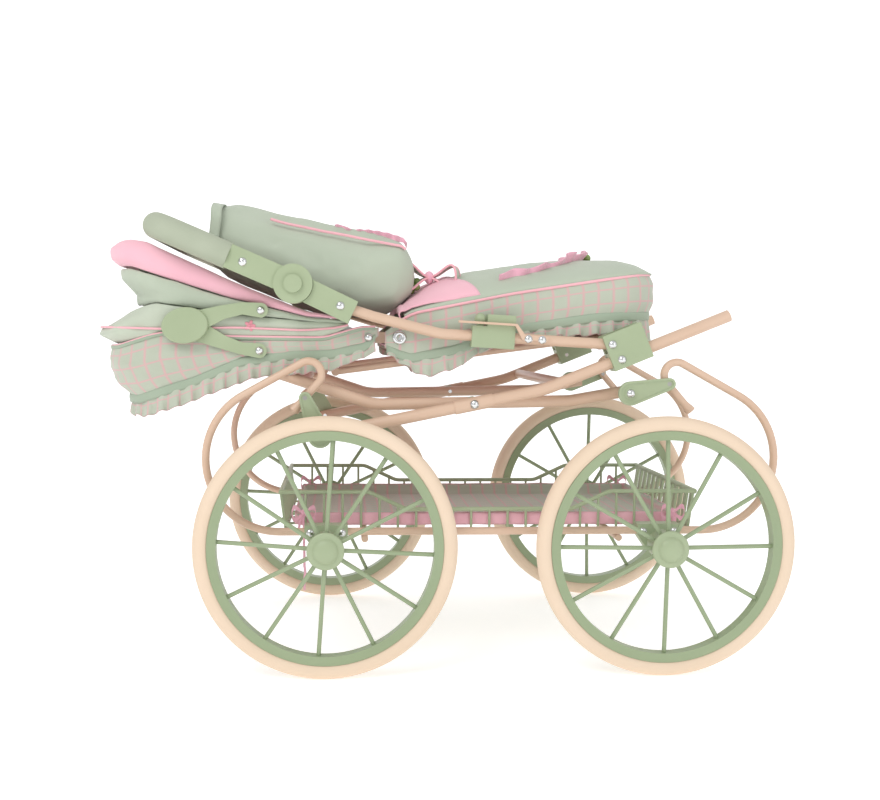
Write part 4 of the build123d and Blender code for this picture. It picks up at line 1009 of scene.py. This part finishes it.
# %% Basket liner
def liner(u, v):
    x, y = (u - 0.5) * 464, (v - 0.5) * 240
    inside = min(232 - abs(x), 120 - abs(y))
    rise = max(0.0, 1 - inside / 7.0) ** 0.7
    wave = 1.3 * crease(x, y, 0, 30, 2.0) * rise
    return x, y, 162.8 + 1.6 + 14.0 * rise + 0.9 * crease(x, y, 0, 55, 4.0) * (1 - rise) + wave


tray = panel("basket_liner_cloth", 140, 90, liner, (0.49, 0.27), check_cloth, "chassis", 1.2)
declare(tray, 0.49)
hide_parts("basket_liner")


def liner_band(u, v):
    side_len, end_len, r = 2 * 221.0, 2 * 109.0, 11.0
    total = 2 * side_len + 2 * end_len + 2 * pi * r
    s = u * total
    pieces = [(side_len, 0), (pi * r / 2, 1), (end_len, 2), (pi * r / 2, 3), (side_len, 4), (pi * r / 2,
        5), (end_len, 6), (pi * r / 2, 7)]
    corners = {1: (221, -109), 3: (221, 109), 5: (-221, 109), 7: (-221, -109)}
    for length, kind in pieces:
        if s <= length or kind == 7:
            break
        s -= length
    if kind == 0:
        x, y, nx, ny = -221 + s, -120, 0, -1
    elif kind == 2:
        x, y, nx, ny = 232, -109 + s, 1, 0
    elif kind == 4:
        x, y, nx, ny = 221 - s, 120, 0, 1
    elif kind == 6:
        x, y, nx, ny = -232, 109 - s, -1, 0
    else:
        a = s / r + {1: -pi / 2, 3: 0, 5: pi / 2, 7: pi}[kind]
        x, y, nx, ny = corners[kind][0] + r * cos(a), corners[kind][1] + r * sin(a), cos(a), sin(a)
    wave = 0.6 * sin(2 * pi * 60 * u + 2 * crease(x, y, 0, 50, 1.0)) * (1 - v)
    return x + nx * (0.8 + wave), y + ny * (0.8 + wave), 163.5 + 15.0 * v + 0.7 * crease(x, y, 0, 25, 7.0)


band = panel("basket_liner_band", 480, 6, liner_band, (1.42, 0.02), pink_cloth, "chassis", 0.8)
declare(band, 1.42)
print("liner laid")


# %% Ribbon bows
def side_loop(name, centre, reach, tall, way, body):
    """A flat loop lying against the basket's side."""
    face = -1 if centre[1] < 0 else 1

    def place(u, v):
        r = sin(pi * u)
        x = centre[0] + way * reach * r**0.8
        z = centre[2] + tall * 0.5 * sin(2 * pi * u) + (v - 0.5) * 6.5 * (0.5 + 0.5 * r)
        y = centre[1] + face * (1.6 + 1.6 * cos(pi * u) * r + 1.0 * crease(x, 0, z, 12, way))
        return x, y, z

    return panel(name, 30, 5, place, (2.3 * reach / 1000, 0.009), ribbon_cloth, body, 0.6)


def tail(name, centre, drop, slant, body):
    face = -1 if centre[1] < 0 else 1

    def place(u, v):
        z = centre[2] - drop * u
        x = centre[0] + slant * u + (v - 0.5) * 2.8 + 2.0 * crease(0, 0, z, 25, slant)
        y = centre[1] + face * (1.0 + 1.2 * crease(x, 3, z, 20, slant + 1))
        return x, y, z

    return panel(name, max(8, int(drop / 2)), 4, place, (drop / 1000, 0.008), ribbon_cloth, body, 0.6)


bow_y = 127.2
for end, x in (("front", -222.0), ("rear", 222.0)):
    for name, y in (("left", -bow_y), ("right", bow_y)):
        tag = f"basket_bow_{end}_{name}"
        centre = (x, y, 179.0)
        side_loop(f"{tag}_loop_a", centre, 14, 15, -1, "chassis")
        side_loop(f"{tag}_loop_b", centre, 14, 15, 1, "chassis")
        knot(f"{tag}_knot", (x, y + (2.0 if y > 0 else -2.0), 181), (3, 1.8, 3.4), "chassis", ribbon_cloth)
        tail(f"{tag}_tail_a", centre, 24, -8, "chassis")
        tail(f"{tag}_tail_b", centre, 92 if tag == "basket_bow_front_left" else 26,
            6 if tag != "basket_bow_front_left" else 1, "chassis")
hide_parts("ribbon_bows")
print("bows tied")

# %% [markdown]
# ## Hub caps
# Each cap is a moulded disc with a low flange and a smooth dome, so it is turned as one profile
# round the axle. The eyelets' rings are turned the same way.

# %% Hub caps
def lathe(name, centre, way, profile, material, body, stands_for=(), steps=56):
    """Turn a profile of (radius, depth) in mm round a line across the pram."""
    bm = bmesh.new()
    verts = [bm.verts.new(centre + Vector((r / 1000, way * d / 1000, 0))) for r, d in profile]
    edges = [bm.edges.new(pair) for pair in zip(verts, verts[1:])]
    bmesh.ops.spin(
        bm, geom=verts + edges, cent=centre, axis=(0, 1, 0), dvec=(0, 0,
            0), angle=2 * pi, steps=steps, use_merge=True
    )
    bmesh.ops.remove_doubles(bm, verts=bm.verts, dist=0.00001)
    bmesh.ops.recalc_face_normals(bm, faces=bm.faces)
    mesh = bpy.data.meshes.new(name)
    bm.to_mesh(mesh)
    bm.free()
    for face in mesh.polygons:
        face.use_smooth = True
    mesh.materials.append(material)
    piece = add_object(name, mesh)
    if stands_for:
        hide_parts(*stands_for)
    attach(piece, body)
    return piece


CAP = [(0, 9.2), (5, 8.9), (9, 8.0), (12, 6.4), (14, 4.6), (14.6, 3.2), (15.4, 2.8), (18.4, 2.8), (20.4, 2.2)]
CAP += [(21.2, 1.0), (21.2, 0.0), (0, 0.0)]
for end in ("front", "rear"):
    for name, way in (("left", -1), ("right", 1)):
        low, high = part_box(f"hub_cap_{end}_{name}")
        inner = high[1] if way < 0 else low[1]
        centre = Vector(((low[0] + high[0]) / 2, inner, (low[2] + high[2]) / 2))
        wheel = f"{end}_{name}_wheel"
        lathe(f"hub_cap_disc_{end}_{name}", centre, way, CAP, sage_moulded, wheel, [f"hub_cap_{end}_{name}"])
print("hub caps turned")

# %% Eyelet rings
RING = [(3.0, 0.4), (3.0, 1.6), (4.0, 2.4), (5.6, 2.6), (7.2, 2.0), (8.2, 0.8), (8.4, 0.0), (3.0, 0.0)]


low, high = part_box("cot_eyelets")
for name, way, y in (("left", -1, low[1]), ("right", 1, high[1])):
    centre = Vector(((low[0] + high[0]) / 2, y, (low[2] + high[2]) / 2))
    lathe(f"eyelet_ring_{name}", centre, way, RING, chrome_head, "cot_foot", steps=40)
print("eyelets ringed")
